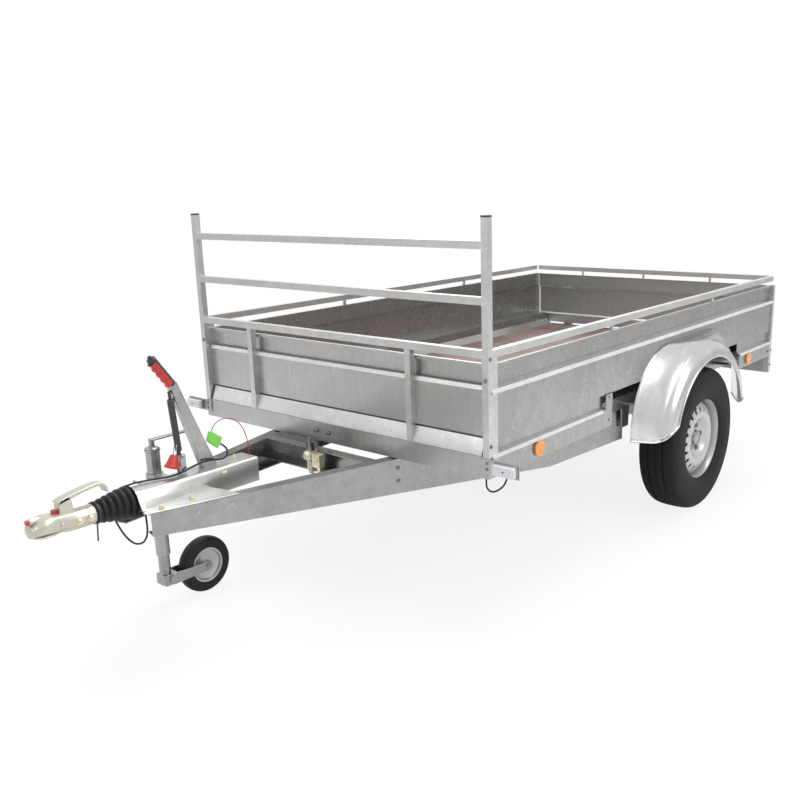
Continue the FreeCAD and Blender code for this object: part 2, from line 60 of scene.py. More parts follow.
def standAt(thing, right, up, back, spot):
    # Right, up and back are the object's own axes; together with its place they fill its matrix.
    thing.matrix_world = Matrix(list(zip(right, up, back, spot)) + [(0.0, 0.0, 0.0, 1.0)])
    scene.collection.objects.link(thing)


# Camera

cameraValues = {
    "fromAxle": (3.7685, 2.4152, 1.4848),
    "yaw": 219.927,
    "pitch": -14.549,
    "roll": -1.433,
    "lens": 40.46,
    "shift": (-0.0444, 0.0176),
}


def makeCamera(values):
    # Looks along (cos pitch cos yaw, cos pitch sin yaw, sin pitch), then rolls about that line.
    yaw, pitch, roll = (math.radians(values[k]) for k in ("yaw", "pitch", "roll"))
    forward = np.array([math.cos(pitch) * math.cos(yaw), math.cos(pitch) * math.sin(yaw), math.sin(pitch)])
    level = np.array([math.sin(yaw), -math.cos(yaw), 0.0])
    upright = np.cross(level, forward)
    right = math.cos(roll) * level + math.sin(roll) * upright
    up = -math.sin(roll) * level + math.cos(roll) * upright
    data = bpy.data.cameras.new("photo_camera")
    data.sensor_width = 36.0
    data.lens = values["lens"]
    data.shift_x, data.shift_y = values["shift"]
    data.clip_start = 0.05
    data.clip_end = 200.0
    camera = bpy.data.objects.new("photo_camera", data)
    standAt(camera, right, up, -forward, place(*values["fromAxle"]))
    scene.camera = camera


makeCamera(cameraValues)


# Cords: control points in metres from the axle

def makeCord(name, body, route, diameter):
    # A smooth curve pulled towards its points. Each point's own radius carries the thickness,
    # because Blender adds that radius to the curve's box.
    data = bpy.data.curves.new(name, "CURVE")
    data.dimensions = "3D"
    data.bevel_depth = 1.0
    data.bevel_resolution = 6
    data.resolution_u = 10
    data.use_fill_caps = True
    spline = data.splines.new("NURBS")
    spline.points.add(len(route) - 1)
    for point, spot in zip(spline.points, route):
        point.co = (*place(*spot), 1.0)
        point.radius = diameter / 2
    spline.order_u = 3
    spline.use_endpoint_u = True
    cord = bpy.data.objects.new(name, data)
    scene.collection.objects.link(cord)
    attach(cord, body)
    return cord


# From the tag, over the housing and round the bellows to the ear on the drawbar
breakawayRoute = [
    (2.0026, -0.017, 0.6457), (1.984, -0.015, 0.633), (1.976, -0.010, 0.616), (1.984, -0.004, 0.600),
    (2.003, 0.001, 0.595), (2.030, 0.005, 0.599), (2.062, 0.008, 0.606), (2.098, 0.009, 0.608),
    (2.134, 0.008, 0.601), (2.170, 0.004, 0.5915), (2.206, 0.0, 0.588), (2.240, -0.012, 0.5876),
    (2.272, -0.026, 0.588), (2.308, -0.035, 0.589), (2.346, -0.038, 0.588), (2.376, -0.046, 0.582),
    (2.391, -0.055, 0.560), (2.397, -0.058, 0.530), (2.397, -0.049, 0.498), (2.394, -0.028, 0.466),
    (2.388, -0.002, 0.435), (2.379, 0.028, 0.418), (2.370, 0.060, 0.427), (2.368, 0.082, 0.453),
    (2.369, 0.091, 0.486), (2.370, 0.091, 0.507), (2.369, 0.090, 0.5265),
]
signalRoute = [
    (2.0296, -0.017, 0.693), (2.025, -0.016, 0.707), (2.006, -0.013, 0.724), (1.978, -0.008, 0.730),
    (1.950, -0.002, 0.722), (1.930, 0.004, 0.705), (1.917, 0.009, 0.679), (1.910, 0.014, 0.647),
    (1.907, 0.017, 0.614), (1.908, 0.018, 0.583),
]
lampRoute = [
    (1.530, 0.832, 0.5538), (1.529, 0.826, 0.538), (1.527, 0.808, 0.517), (1.525, 0.785, 0.501),
    (1.521, 0.762, 0.494), (1.515, 0.743, 0.500), (1.506, 0.732, 0.513), (1.500, 0.729, 0.5297),
]
breakawayCable = makeCord("breakaway_cable", "drawbar", breakawayRoute, 0.006)
signalWire = makeCord("signal_wire", "drawbar", signalRoute, 0.0032)
lampCable = makeCord("lamp_cable", "bed", lampRoute, 0.006)
print("camera and cords made")


# Material helpers

def newMaterial(name):
    # A material of one Principled shader and its output.
    material = bpy.data.materials.new(name)
    material.use_nodes = True
    tree = material.node_tree
    for node in list(tree.nodes):
        if node.type != "OUTPUT_MATERIAL" and node.type != "BSDF_PRINCIPLED":
            tree.nodes.remove(node)
    return material, tree, tree.nodes["Principled BSDF"]


def addNode(tree, kind, values=None, **settings):
    # Makes a node, sets its properties, then its inputs: a link where the value is a socket.
    node = tree.nodes.new(kind)
    for key, value in settings.items():
        setattr(node, key, value)
    for key, value in (values or {}).items():
        if isinstance(value, bpy.types.NodeSocket):
            tree.links.new(value, node.inputs[key])
        else:
            node.inputs[key].default_value = value
    return node


def objectPlace(tree, scale=(1, 1, 1)):
    # Object coordinates; a small scale draws a pattern out along that axis.
    coords = addNode(tree, "ShaderNodeTexCoord")
    mapping = addNode(tree, "ShaderNodeMapping", {"Vector": coords.outputs["Object"], "Scale": scale})
    return mapping.outputs["Vector"]


def noise(tree, vector, scale, detail=4.0, rough=0.55, distortion=0.0):
    # Soft clouds; detail and roughness make their edges finer.
    node = addNode(tree, "ShaderNodeTexNoise",
                   {"Vector": vector, "Scale": scale, "Detail": detail, "Roughness": rough,
                    "Distortion": distortion})
    return node.outputs["Fac"]


def cells(tree, vector, scale, feature="F1", output="Distance"):
    # Irregular cells: the distance in each of them, or one colour for each.
    node = addNode(tree, "ShaderNodeTexVoronoi", {"Vector": vector, "Scale": scale}, feature=feature)
    return node.outputs[output]


def spread(tree, value, low, high, fromLow=0.0, fromHigh=1.0):
    # Carries a value from one range into another and holds it at the ends.
    node = addNode(tree, "ShaderNodeMapRange",
                   {"Value": value, "From Min": fromLow, "From Max": fromHigh, "To Min": low, "To Max": high})
    return node.outputs["Result"]


def blendColour(tree, factor, first, second):
    # Inputs 6 and 7 and output 2 are the Mix node's colour sockets.
    first, second = (c if isinstance(c, bpy.types.NodeSocket) else (*c, 1.0) for c in (first, second))
    return addNode(tree, "ShaderNodeMix", {0: factor, 6: first, 7: second}, data_type="RGBA").outputs[2]


def sums(tree, first, second, operation="ADD"):
    # Adds two values, or joins them by another operation.
    node = addNode(tree, "ShaderNodeMath", {0: first, 1: second}, operation=operation)
    return node.outputs[0]


def bumped(tree, shader, height, strength, distance):
    # Relief from a height between 0 and 1, which stands for the distance in metres.
    node = addNode(tree, "ShaderNodeBump", {"Height": height, "Strength": strength, "Distance": distance})
    tree.links.new(node.outputs["Normal"], shader.inputs["Normal"])


def finish(tree, shader, colour, roughness=None):
    # Links a colour, and a roughness where there is one, into the shader.
    tree.links.new(colour, shader.inputs["Base Color"])
    if roughness is not None:
        tree.links.new(roughness, shader.inputs["Roughness"])


galvanisedValues = {
    "dark": (0.47, 0.475, 0.465), "pale": (0.66, 0.665, 0.655), "paintedGlare": (0.78, 0.785, 0.775),
    "crystals": 95.0, "crystalShare": 0.13, "streaks": 9.0, "clouds": 2.6, "grain": 160.0,
    "roughness": (0.44, 0.34), "relief": (0.10, 0.0006),
}


def makeGalvanised(name, runs, tone, gloss, metallic=0.86, spangle=1.0):
    # Zinc crystals, long runs where the bath drained, broad soft clouds and a painted highlight along the
    # brightest runs.
    v = galvanisedValues
    material, tree, shader = newMaterial(name)
    vector = objectPlace(tree)
    grain = cells(tree, vector, v["crystals"], output="Color")
    grainTone = addNode(tree, "ShaderNodeSeparateColor", {"Color": grain}).outputs[0]
    streaks = noise(tree, objectPlace(tree, runs), v["streaks"], 6.0, 0.62, 0.35)
    clouds = noise(tree, vector, v["clouds"], 3.0, 0.5, 0.8)
    fine = noise(tree, vector, v["grain"], 2.0, 0.6)
    crystals = sums(tree, grainTone, v["crystalShare"] * spangle, "MULTIPLY")
    mixed = sums(tree, sums(tree, streaks, clouds), crystals)
    share = spread(tree, mixed, 0.0, 1.0, 0.62, 1.50)
    colour = blendColour(tree, share, [c * tone for c in v["dark"]], [c * tone for c in v["pale"]])
    # Painted highlight: the colour turns paler along the brightest runs
    paintedGlare = spread(tree, streaks, 0.0, 0.5, 0.60, 0.78)
    colour = blendColour(tree, paintedGlare, colour, [c * tone for c in v["paintedGlare"]])
    low, high = v["roughness"]
    rough = spread(tree, sums(tree, mixed, fine), low - gloss, high - gloss, 0.9, 1.9)
    finish(tree, shader, colour, rough)
    shader.inputs["Metallic"].default_value = metallic
    bumped(tree, shader, sums(tree, grainTone, fine), *v["relief"])
    return material


def makePaint(name, colour, roughness, flecks, metallic=0.0, scale=60.0, bump=0.0):
    # An even colour with soft and fine flecks a little darker and paler than it.
    material, tree, shader = newMaterial(name)
    vector = objectPlace(tree)
    soft = noise(tree, vector, scale * 0.1, 3.0)
    fine = noise(tree, vector, scale * 4.0, 2.0)
    share = spread(tree, sums(tree, soft, fine), 0.0, 1.0, 0.6, 1.4)
    low = [c * (1 - flecks) for c in colour]
    high = [min(1.0, c * (1 + flecks) + flecks * 0.04) for c in colour]
    finish(tree, shader, blendColour(tree, share, low, high),
           spread(tree, share, roughness + 0.06, roughness - 0.05))
    shader.inputs["Metallic"].default_value = metallic
    if bump:
        bumped(tree, shader, fine, bump, 0.0004)
    return material


plywoodValues = {
    "film": ((0.095, 0.055, 0.046), (0.150, 0.088, 0.074)), "dust": (0.23, 0.18, 0.165), "mesh": 190.0,
    "grainAlong": (1.0, 12.0, 1.0), "relief": (0.25, 0.0006),
}


def makePlywood(name, v):
    # Brown film over birch ply, pressed with a fine mesh and scuffed by loads.
    material, tree, shader = newMaterial(name)
    vector = objectPlace(tree)
    mesh = cells(tree, vector, v["mesh"], "DISTANCE_TO_EDGE")
    grain = noise(tree, objectPlace(tree, v["grainAlong"]), 6.0, 5.0, 0.6, 0.5)
    dust = noise(tree, vector, 3.2, 4.0, 0.6, 0.6)
    film = blendColour(tree, spread(tree, grain, 0, 1, 0.35, 0.7), *v["film"])
    colour = blendColour(tree, spread(tree, dust, 0.0, 0.55, 0.45, 0.75), film, v["dust"])
    finish(tree, shader, colour, spread(tree, dust, 0.42, 0.60, 0.3, 0.7))
    bumped(tree, shader, mesh, *v["relief"])
    return material


# edge is the lens colour's share in the painted shade along the prisms' edges
lensValues = {"edge": 0.72, "roughness": 0.16, "coat": 0.6, "coatRoughness": 0.06, "relief": (0.35, 0.0008)}


def makeLens(name, colour, pitch=0.007):
    # Small moulded prisms, with painted shade along their edges, under a glossy face.
    material, tree, shader = newMaterial(name)
    vector = objectPlace(tree)
    prisms = cells(tree, vector, 1.0 / pitch, "DISTANCE_TO_EDGE")
    # Painted shade in the creases between the prisms
    edge = [c * lensValues["edge"] for c in colour]
    finish(tree, shader, blendColour(tree, spread(tree, prisms, 0, 1, 0.0, 0.35), edge, colour))
    shader.inputs["Roughness"].default_value = lensValues["roughness"]
    shader.inputs["Coat Weight"].default_value = lensValues["coat"]
    shader.inputs["Coat Roughness"].default_value = lensValues["coatRoughness"]
    bumped(tree, shader, prisms, *lensValues["relief"])
    return material


rubberValues = {
    "clouds": 12.0, "skin": 420.0, "dust": (0.13, 0.13, 0.13), "specular": 0.22, "relief": (0.12, 0.0004),
}


def makeRubber(name, colour, roughness, dust):
    # Moulded rubber with a fine skin and a grey bloom of dust in soft patches.
    material, tree, shader = newMaterial(name)
    vector = objectPlace(tree)
    soft = noise(tree, vector, rubberValues["clouds"], 4.0, 0.6)
    fine = noise(tree, vector, rubberValues["skin"], 2.0)
    dusty = blendColour(tree, spread(tree, soft, 0.0, dust, 0.4, 0.8), colour, rubberValues["dust"])
    finish(tree, shader, dusty, spread(tree, soft, roughness - 0.08, roughness + 0.1))
    shader.inputs["Specular IOR Level"].default_value = rubberValues["specular"]
    bumped(tree, shader, fine, *rubberValues["relief"])
    return material


# Runs are the pattern's scales along x, y and z: the small one draws the streaks out
materials = {
    "sheet": makeGalvanised("galvanised_sheet", runs=(16.0, 16.0, 1.1), tone=0.80, gloss=0.08, metallic=0.84),
    "beam": makeGalvanised("galvanised_beam", runs=(5.0, 5.0, 0.8), tone=0.74, gloss=0.06, metallic=0.82),
    # The drawbars' darkest tone is partly painted shade, for the shade they lie in under the bed
    "bar": makeGalvanised("galvanised_bar", runs=(3.0, 3.0, 3.0), tone=0.54, gloss=0.12, metallic=0.92),
    "side": makeGalvanised("galvanised_side_sheet", runs=(5.0, 5.0, 2.0), tone=0.60, gloss=0.10,
                           metallic=0.90),
    # A paler copy of the galvanising: painted highlight on the folds and the front slope
    "fold": makeGalvanised("painted_highlight_fold", runs=(3.0, 3.0, 3.0), tone=1.24, gloss=0.08, metallic=0.55,
                           spangle=0.3),
    "tubes": makeGalvanised("galvanised_tube", runs=(3.0, 3.0, 3.0), tone=0.97, gloss=0.06),
    "guard": makeGalvanised("rolled_guard_sheet", runs=(0.6, 3.0, 0.6), tone=1.02, gloss=0.14, metallic=0.95,
                            spangle=0.2),
    "zinc": makeGalvanised("bright_zinc", runs=(5.0, 5.0, 5.0), tone=0.62, gloss=0.16, metallic=0.95,
                           spangle=0.2),
    "coupling": makePaint("coupling_zinc", (0.52, 0.50, 0.43), roughness=0.36, metallic=0.6, flecks=0.10,
                          scale=40.0, bump=0.1),
    "rim": makePaint("rim_silver", (0.50, 0.495, 0.49), roughness=0.34, metallic=0.55, flecks=0.05),
    "plywood": makePlywood("film_faced_plywood", plywoodValues),
    "rubber": makeRubber("moulded_rubber", (0.014, 0.014, 0.016), roughness=0.44, dust=0.05),
    "tyre": makeRubber("tyre_rubber", (0.010, 0.010, 0.011), roughness=0.66, dust=0.07),
    "plastic": makePaint("black_plastic", (0.022, 0.022, 0.023), roughness=0.42, flecks=0.2, scale=90.0,
                         bump=0.2),
    "redPlastic": makePaint("red_plastic", (0.50, 0.028, 0.022), roughness=0.36, flecks=0.1, scale=70.0,
                            bump=0.1),
    "blackPaint": makePaint("black_paint", (0.03, 0.03, 0.032), roughness=0.3, flecks=0.2),
    "redLens": makeLens("red_lens", (0.55, 0.02, 0.02)),
    "clearLens": makeLens("clear_lens", (0.78, 0.78, 0.82)),
    "orangeLens": makeLens("orange_lens", (0.86, 0.29, 0.012), pitch=0.005),
    "green": makePaint("green_plastic", (0.20, 0.62, 0.08), roughness=0.36, flecks=0.08, scale=80.0,
                       bump=0.1),
    "redWire": makePaint("red_wire", (0.30, 0.04, 0.03), roughness=0.4, flecks=0.1, scale=80.0),
    # Near-black: painted shade behind the rim's holes
    "drum": makePaint("painted_shade_drum", (0.018, 0.018, 0.018), roughness=0.7, flecks=0.2, scale=40.0),
    "brass": makePaint("yellow_passivated_zinc", (0.72, 0.66, 0.48), roughness=0.34, metallic=0.7,
                       flecks=0.12),
}
print("materials made:", len(materials))

# Finish of each CAD node that isn't plain beam
finishOf = {
    "wall_left": "side", "wall_right": "side", "wall_front": "sheet", "tailgate_panel": "sheet",
    "side_beam_left": "side", "side_beam_right": "side",
    "mudguard_left": "guard", "mudguard_right": "guard", "floor_panel": "plywood",
    "drawbar_left": "bar", "drawbar_right": "bar", "drawbar_cross_member": "bar",
    "coupling_head": "coupling", "coupling_handle": "coupling", "bellows": "rubber",
    "draw_tube": "zinc", "brake_grip": "redPlastic", "brake_strut": "blackPaint",
    "jockey_outer_tube": "zinc", "jockey_crank": "zinc", "jockey_fork": "zinc", "jockey_nut": "zinc",
    "jockey_rim": "zinc", "jockey_tyre": "rubber", "tilt_latch": "zinc",
    "rim_left": "rim", "rim_right": "rim", "tyre_left": "tyre", "tyre_right": "tyre",
    "rear_lamps": "redLens", "front_lamps": "clearLens", "side_reflectors": "orangeLens",
    "headboard": "tubes", "side_rails": "tubes", "front_rail": "tubes", "front_stakes": "tubes",
    "front_posts": "tubes", "rear_posts": "tubes", "tailgate_rail": "tubes", "headboard_caps": "plastic",
}

for nodeName, piece in nodes.items():
    piece.data.materials.clear()
    piece.data.materials.append(materials[finishOf.get(nodeName, "beam")])


# Mesh helpers, on whole numpy arrays

def gridFaces(rows, columns, closeRows=False, closeColumns=False):
    # Face (i, j) joins points (i, j), (i, j+1), (i+1, j+1) and (i+1, j), numbered row by row.
    i = np.arange(rows if closeRows else rows - 1)[:, None]
    j = np.arange(columns if closeColumns else columns - 1)[None, :]
    up = (i + 1) % rows
    on = (j + 1) % columns
    corners = [i * columns + j, i * columns + on, up * columns + on, up * columns + j]
    return np.stack(corners, -1).reshape(-1, 4)


def turnedFrame(axis):
    # Two unit directions square to an axis.
    axis = np.array(axis, float) / np.linalg.norm(axis)
    guide = np.array((0.0, 0.0, 1.0)) if abs(axis[2]) < 0.9 else np.array((1.0, 0.0, 0.0))
    first = np.cross(guide, axis)
    first /= np.linalg.norm(first)
    return axis, first, np.cross(axis, first)


def lathe(profile, centre, axis, steps=48):
    # Point (along, radius) goes to centre + along * axis + radius * (cos t, sin t) across the axis.
    axis, first, second = turnedFrame(axis)
    along, radius = np.array(profile, float).T
    turn = np.arange(steps) * 2 * np.pi / steps
    ring = np.cos(turn)[:, None] * first + np.sin(turn)[:, None] * second
    points = np.array(centre) + along[None, :, None] * axis + radius[None, :, None] * ring[:, None, :]
    return points.reshape(-1, 3), gridFaces(steps, len(along), closeRows=True)


def sweepTube(path, radius, steps=10, guide=(0.0, 0.0, 1.0)):
    # A circle of the radius square to the path at each of its points, with closed ends.
    path = np.array(path, float)
    along = np.gradient(path, axis=0)
    along /= np.linalg.norm(along, axis=1)[:, None]
    first = np.cross(along, guide)
    first /= np.maximum(np.linalg.norm(first, axis=1), 1e-6)[:, None]
    second = np.cross(along, first)
    turn = np.arange(steps) * 2 * np.pi / steps
    ring = np.cos(turn)[None, :, None] * first[:, None] + np.sin(turn)[None, :, None] * second[:, None]
    points = (path[:, None] + radius * ring).reshape(-1, 3)
    ends = [list(range(steps)), list(range(len(points) - steps, len(points)))[::-1]]
    return points, gridFaces(len(path), steps, closeColumns=True).tolist() + ends


def extruded(outline, axis, start, end):
    # An outline in the plane square to an axis, carried from start to end along it.
    flat = np.array(outline, float)
    count = len(flat)
    order = {"X": (2, 0, 1), "Y": (0, 2, 1), "Z": (0, 1, 2)}[axis]
    layers = [np.column_stack([flat, np.full(count, at)])[:, order] for at in (start, end)]
    sides = gridFaces(2, count, closeColumns=True).tolist()
    return np.vstack(layers), sides + [list(range(count))[::-1], list(range(count, 2 * count))]


def linkOutline(first, firstRadius, second, secondRadius, steps=12):
    # Two circles and their outer tangents.
    first, second = np.array(first, float), np.array(second, float)
    gap = second - first
    distance = np.linalg.norm(gap)
    lean = math.atan2(gap[1], gap[0])
    opening = math.acos((firstRadius - secondRadius) / distance)
    far = lean + np.linspace(-opening, opening, steps)
    near = lean + np.linspace(opening, 2 * math.pi - opening, steps)
    return np.vstack([second + secondRadius * np.column_stack([np.cos(far), np.sin(far)]),
                      first + firstRadius * np.column_stack([np.cos(near), np.sin(near)])])


def roundedLine(corners, steps=5):
    # Corner (a, b, radius) becomes a parabola that touches both sides where the arc of its radius would.
    corners = np.array(corners, float)
    spots, radius = corners[:, :2], corners[:, 2:]
    before = np.roll(spots, 1, 0) - spots
    after = np.roll(spots, -1, 0) - spots
    before /= np.linalg.norm(before, axis=1)[:, None]
    after /= np.linalg.norm(after, axis=1)[:, None]
    half = np.arccos(np.clip((before * after).sum(1), -1, 1)) / 2
    reach = radius / np.tan(half)[:, None]
    share = np.linspace(0, 1, steps)[None, :, None]
    start, end = (spots + before * reach)[:, None], (spots + after * reach)[:, None]
    mid = spots[:, None]
    return ((1 - share) ** 2 * start + 2 * share * (1 - share) * mid + share ** 2 * end).reshape(-1, 2)


def roundedBox(low, high, radius):
    # A rectangle from its low to its high corner, with all four corners rounded.
    return roundedLine([(low[0], low[1], radius), (high[0], low[1], radius), (high[0], high[1], radius),
                        (low[0], high[1], radius)])


def smoothRows(spots, values, at):
    # Cubic Hermite curve through rows of values, with slopes taken from the neighbours on either side.
    spots, values = np.array(spots, float), np.array(values, float)
    slope = np.gradient(values, spots, axis=0)
    i = np.clip(np.searchsorted(spots, at) - 1, 0, len(spots) - 2)
    span = (spots[i + 1] - spots[i])[:, None]
    t = (at[:, None] - spots[i][:, None]) / span
    return ((2 * t ** 3 - 3 * t ** 2 + 1) * values[i] + (t ** 3 - 2 * t ** 2 + t) * span * slope[i]
            + (3 * t ** 2 - 2 * t ** 3) * values[i + 1] + (t ** 3 - t ** 2) * span * slope[i + 1])


def mirroredParts(parts):
    # The trailer's other side: y becomes -y.
    return [(points * np.array((1, -1, 1)), faces) for points, faces in parts]


bothSides = (("left", list), ("right", mirroredParts))


def makePiece(name, body, material, parts, replaced=(), smooth=35.0, thickness=0.0, bevel=0.0):
    # Joins parts measured from the axle, shuts seams, turns faces outwards and rides the piece.
    points = np.vstack([p for p, _ in parts]) + np.array((axleX, 0.0, 0.0))
    faces, start = [], 0
    for p, f in parts:
        if isinstance(f, np.ndarray):
            faces += (f + start).tolist()
        else:
            faces += [[start + k for k in face] for face in f]
        start += len(p)
    mesh = bpy.data.meshes.new(name)
    mesh.from_pydata(points.tolist(), [], faces)
    work = bmesh.new()
    work.from_mesh(mesh)
    bmesh.ops.remove_doubles(work, verts=work.verts, dist=2e-5)
    bmesh.ops.recalc_face_normals(work, faces=work.faces)
    work.to_mesh(mesh)
    work.free()
    mesh.polygons.foreach_set("use_smooth", np.ones(len(mesh.polygons), bool))
    mesh.set_sharp_from_angle(angle=math.radians(smooth))
    mesh.materials.append(materials[material])
    piece = bpy.data.objects.new(name, mesh)
    scene.collection.objects.link(piece)
    if thickness:
        wall = piece.modifiers.new("wall", "SOLIDIFY")
        wall.thickness = thickness
        wall.offset = -1.0
    if bevel:
        edge = piece.modifiers.new("edge", "BEVEL")
        edge.width = bevel
        edge.segments = 2
        edge.limit_method = "ANGLE"
    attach(piece, body)
    if replaced:
        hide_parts(*replaced)
    return piece


def boltHead(centre, axis, radius=0.0075, height=0.006, stem=0.004):
    # Washer, chamfered six-sided head and the thread's end.
    axis, first, second = turnedFrame(axis)
    washer = lathe([(0, 0), (0, radius * 1.35), (0.0015, radius * 1.35), (0.0015, 0)], centre, axis, 20)
    head = lathe([(0.0015, radius), (height * 0.8, radius), (height, radius * 0.82), (height, 0)],
                 centre, axis, 6)
    tip = lathe([(height, radius * 0.5), (height + stem, radius * 0.5), (height + stem, 0)], centre, axis, 12)
    return [washer, head, tip]


# Mudguards: a pressed sheet that leaves the wall as a rounded arch and narrows to a round beaded edge

guardValues = {
    "wall": 0.7443, "edge": 0.8655, "hub": 0.3255, "tyre": 0.3255, "shift": -0.010,
    "stations": [(0.0, 0.2045, 0.138, 0.330), (0.40, 0.138, 0.130, 0.375), (0.62, 0.1035, 0.1225, 0.420),
                 (0.85, 0.086, 0.101, 0.404), (0.965, 0.061, 0.077, 0.381), (1.0, 0.0305, 0.0515, 0.351)],
    "footInner": 0.422, "footOuter": 0.406, "rounding": 0.060, "bead": 0.0045, "sheet": 0.003,
    "columns": 33, "stay": (0.486, 0.575), "stayAcross": (0.655, 0.70, 0.742), "stayRadius": 0.008,
}


def guardSurface(v):
    # Row at share s of the width: half length, height and corner radius run smoothly through the
    # stations; column t walks an even length up the leg and round the corner, then back down behind.
    stations = np.array(v["stations"])
    share = np.concatenate([np.linspace(0, 0.6, 10), np.linspace(0.66, 0.92, 8), np.linspace(0.94, 1.0, 7)])
    reach, rise, corner = smoothRows(stations[:, 0], stations[:, 1:], share).T
    side = v["tyre"] + reach
    high = v["hub"] + v["tyre"] + rise
    corner = np.minimum(corner, side - 0.001)
    y = v["wall"] + share * (v["edge"] - v["wall"])
    inner = v["edge"] - v["rounding"]
    foot = np.interp(y, (v["wall"], inner), (v["footInner"], v["footOuter"]))
    bend = np.clip(y - inner, 0, v["rounding"] * 0.999)
    foot = foot + v["rounding"] - np.sqrt(v["rounding"] ** 2 - bend ** 2)
    side, corner, foot = side[:, None], corner[:, None], foot[:, None]
    base = high[:, None] - corner
    start = np.arcsin(np.clip((foot - base) / corner, 0, 0.95))
    leg = np.maximum(base - foot, 0)
    walked = np.linspace(0, 1, v["columns"])[None, :] * (leg + corner * (math.pi / 2 - start))
    angle = start + np.maximum(walked - leg, 0) / corner
    halfX = side - corner + corner * np.cos(angle)
    halfZ = base + corner * np.sin(angle) - np.maximum(leg - walked, 0)
    x = np.hstack([halfX, (-halfX)[:, ::-1]]) + v["shift"]
    z = np.hstack([halfZ, halfZ[:, ::-1]])
    return np.stack([x, np.repeat(y[:, None], x.shape[1], 1), z], -1)


def makeGuards(v):
    # The bead follows the sheet's border: up one foot, along the edge and down the other foot.
    surface = guardSurface(v)
    rows, columns = surface.shape[:2]
    sheetPart = (surface.reshape(-1, 3), gridFaces(rows, columns))
    rim = np.vstack([surface[:, 0], surface[-1, 1:-1], surface[::-1, -1]])
    bead = sweepTube(rim, v["bead"], 8, (0.0, 1.0, 0.001))
    x, z = v["stay"]
    stays = [sweepTube([(s * x, y, z) for y in v["stayAcross"]], v["stayRadius"], 16) for s in (1, -1)]
    for side, flip in bothSides:
        makePiece("mudguard_sheet_" + side, "bed", "guard", flip([sheetPart]),
                  replaced=("mudguard_" + side,), smooth=60.0, thickness=v["sheet"])
        makePiece("mudguard_bead_" + side, "bed", "guard", flip([bead]), smooth=60.0)
    makePiece("mudguard_stay_bars", "bed", "bar", stays + mirroredParts(stays), replaced=("mudguard_stays",))


makeGuards(guardValues)
print("mudguards made")


# Road wheels

tyreValues = {
    "centre": (0.0, 0.757, 0.3255), "turns": 360,
    "outline": [(-0.074, 0.1795), (-0.0815, 0.192), (-0.0845, 0.200), (-0.0905, 0.225), (-0.0918, 0.250),
                (-0.0905, 0.272), (-0.0865, 0.292), (-0.0800, 0.3075), (-0.0700, 0.3170), (-0.0560, 0.3218),
                (-0.030, 0.3246), (0.0, 0.3254)],
    "across": 96, "grooves": (-0.033, 0.0, 0.033), "grooveWidth": 0.0085, "grooveDepth": 0.007,
    "blocks": 72, "sipeDepth": 0.0028, "notchDepth": 0.0012, "tread": 0.300, "wallFoot": 0.203,
    "ribHeight": 0.0005, "ribPitch": 0.0065,
}


def tyreSurface(v):
    # Angle a and share p across: the outline's radius at p, less three grooves round the tread,
    # a slanting row of sipes on each shoulder and fine ribs on the side wall.
    half = np.array(v["outline"])
    whole = np.vstack([half, (half * (-1, 1))[::-1][1:]])
    spots = np.concatenate([[0], np.cumsum(np.linalg.norm(np.diff(whole, axis=0), axis=1))])
    at = np.linspace(0, spots[-1], v["across"])
    y, radius = smoothRows(spots, whole, at).T
    for groove in v["grooves"]:
        radius = radius - v["grooveDepth"] * np.clip(1.6 - 3.2 * np.abs(y - groove) / v["grooveWidth"], 0, 1)
    ribs = v["ribHeight"] * np.clip(np.cos((radius - 0.2) * 2 * np.pi / v["ribPitch"]) * 3, -1, 1)
    onWall = (radius < v["tread"]) & (radius > v["wallFoot"])
    outward = np.sign(y) * np.where(onWall, ribs, 0)
    turn = np.arange(v["turns"]) * 2 * np.pi / v["turns"]
    wave = np.cos(v["blocks"] * (turn[:, None] + 0.9 * np.abs(y)[None, :]))
    shoulder = np.clip(1 - np.abs(np.abs(y) - 0.066) / 0.014, 0, 1) ** 0.5 * (radius > v["tread"])
    small = np.cos(2 * v["blocks"] * (turn[:, None] - 0.5 * y[None, :]))
    middle = np.clip(1 - np.abs(np.abs(y) - 0.0165) / 0.011, 0, 1)
    r = radius[None, :] - v["sipeDepth"] * shoulder * (wave > 0.45) - v["notchDepth"] * middle * (small > 0.6)
    across, turn = (y + outward)[None, :] + 0 * r, turn[:, None]
    points = np.stack([r * np.cos(turn), across, r * np.sin(turn)], -1)
    return points.reshape(-1, 3) + np.array(v["centre"]), gridFaces(v["turns"], len(at), closeRows=True)


tyrePart = tyreSurface(tyreValues)
for side, flip in bothSides:
    makePiece("road_tyre_" + side, "wheel_" + side, "tyre", flip([tyrePart]), replaced=("tyre_" + side,),
              smooth=32.0)

rimValues = {
    "radius": 0.1925, "steps": 160, "discEdge": 0.1785, "ringInner": 0.118, "ringOuter": 0.152,
    "holes": 20, "holeCircle": 0.135, "holeLong": 0.0105, "holeWide": 0.0085,
    "bolts": 5, "boltCircle": 0.056, "boltSeat": 0.036, "firstBolt": 0.5,
    "valveCircle": 0.1665, "valveSeat": 0.034, "valveTurn": 1.25,
}


def discDepth(r):
    # Height of the pressed disc over the wheel's middle plane at a radius.
    spots = (0.036, 0.040, 0.066, 0.072, 0.083, 0.096, 0.110, 0.120, 0.132, 0.142, 0.152, 0.162, 0.170,
             0.1785)
    depths = (0.040, 0.036, 0.036, 0.038, 0.052, 0.0625, 0.0655, 0.0645, 0.061, 0.0565, 0.050, 0.041, 0.032,
              0.019)
    return np.interp(r, spots, depths)


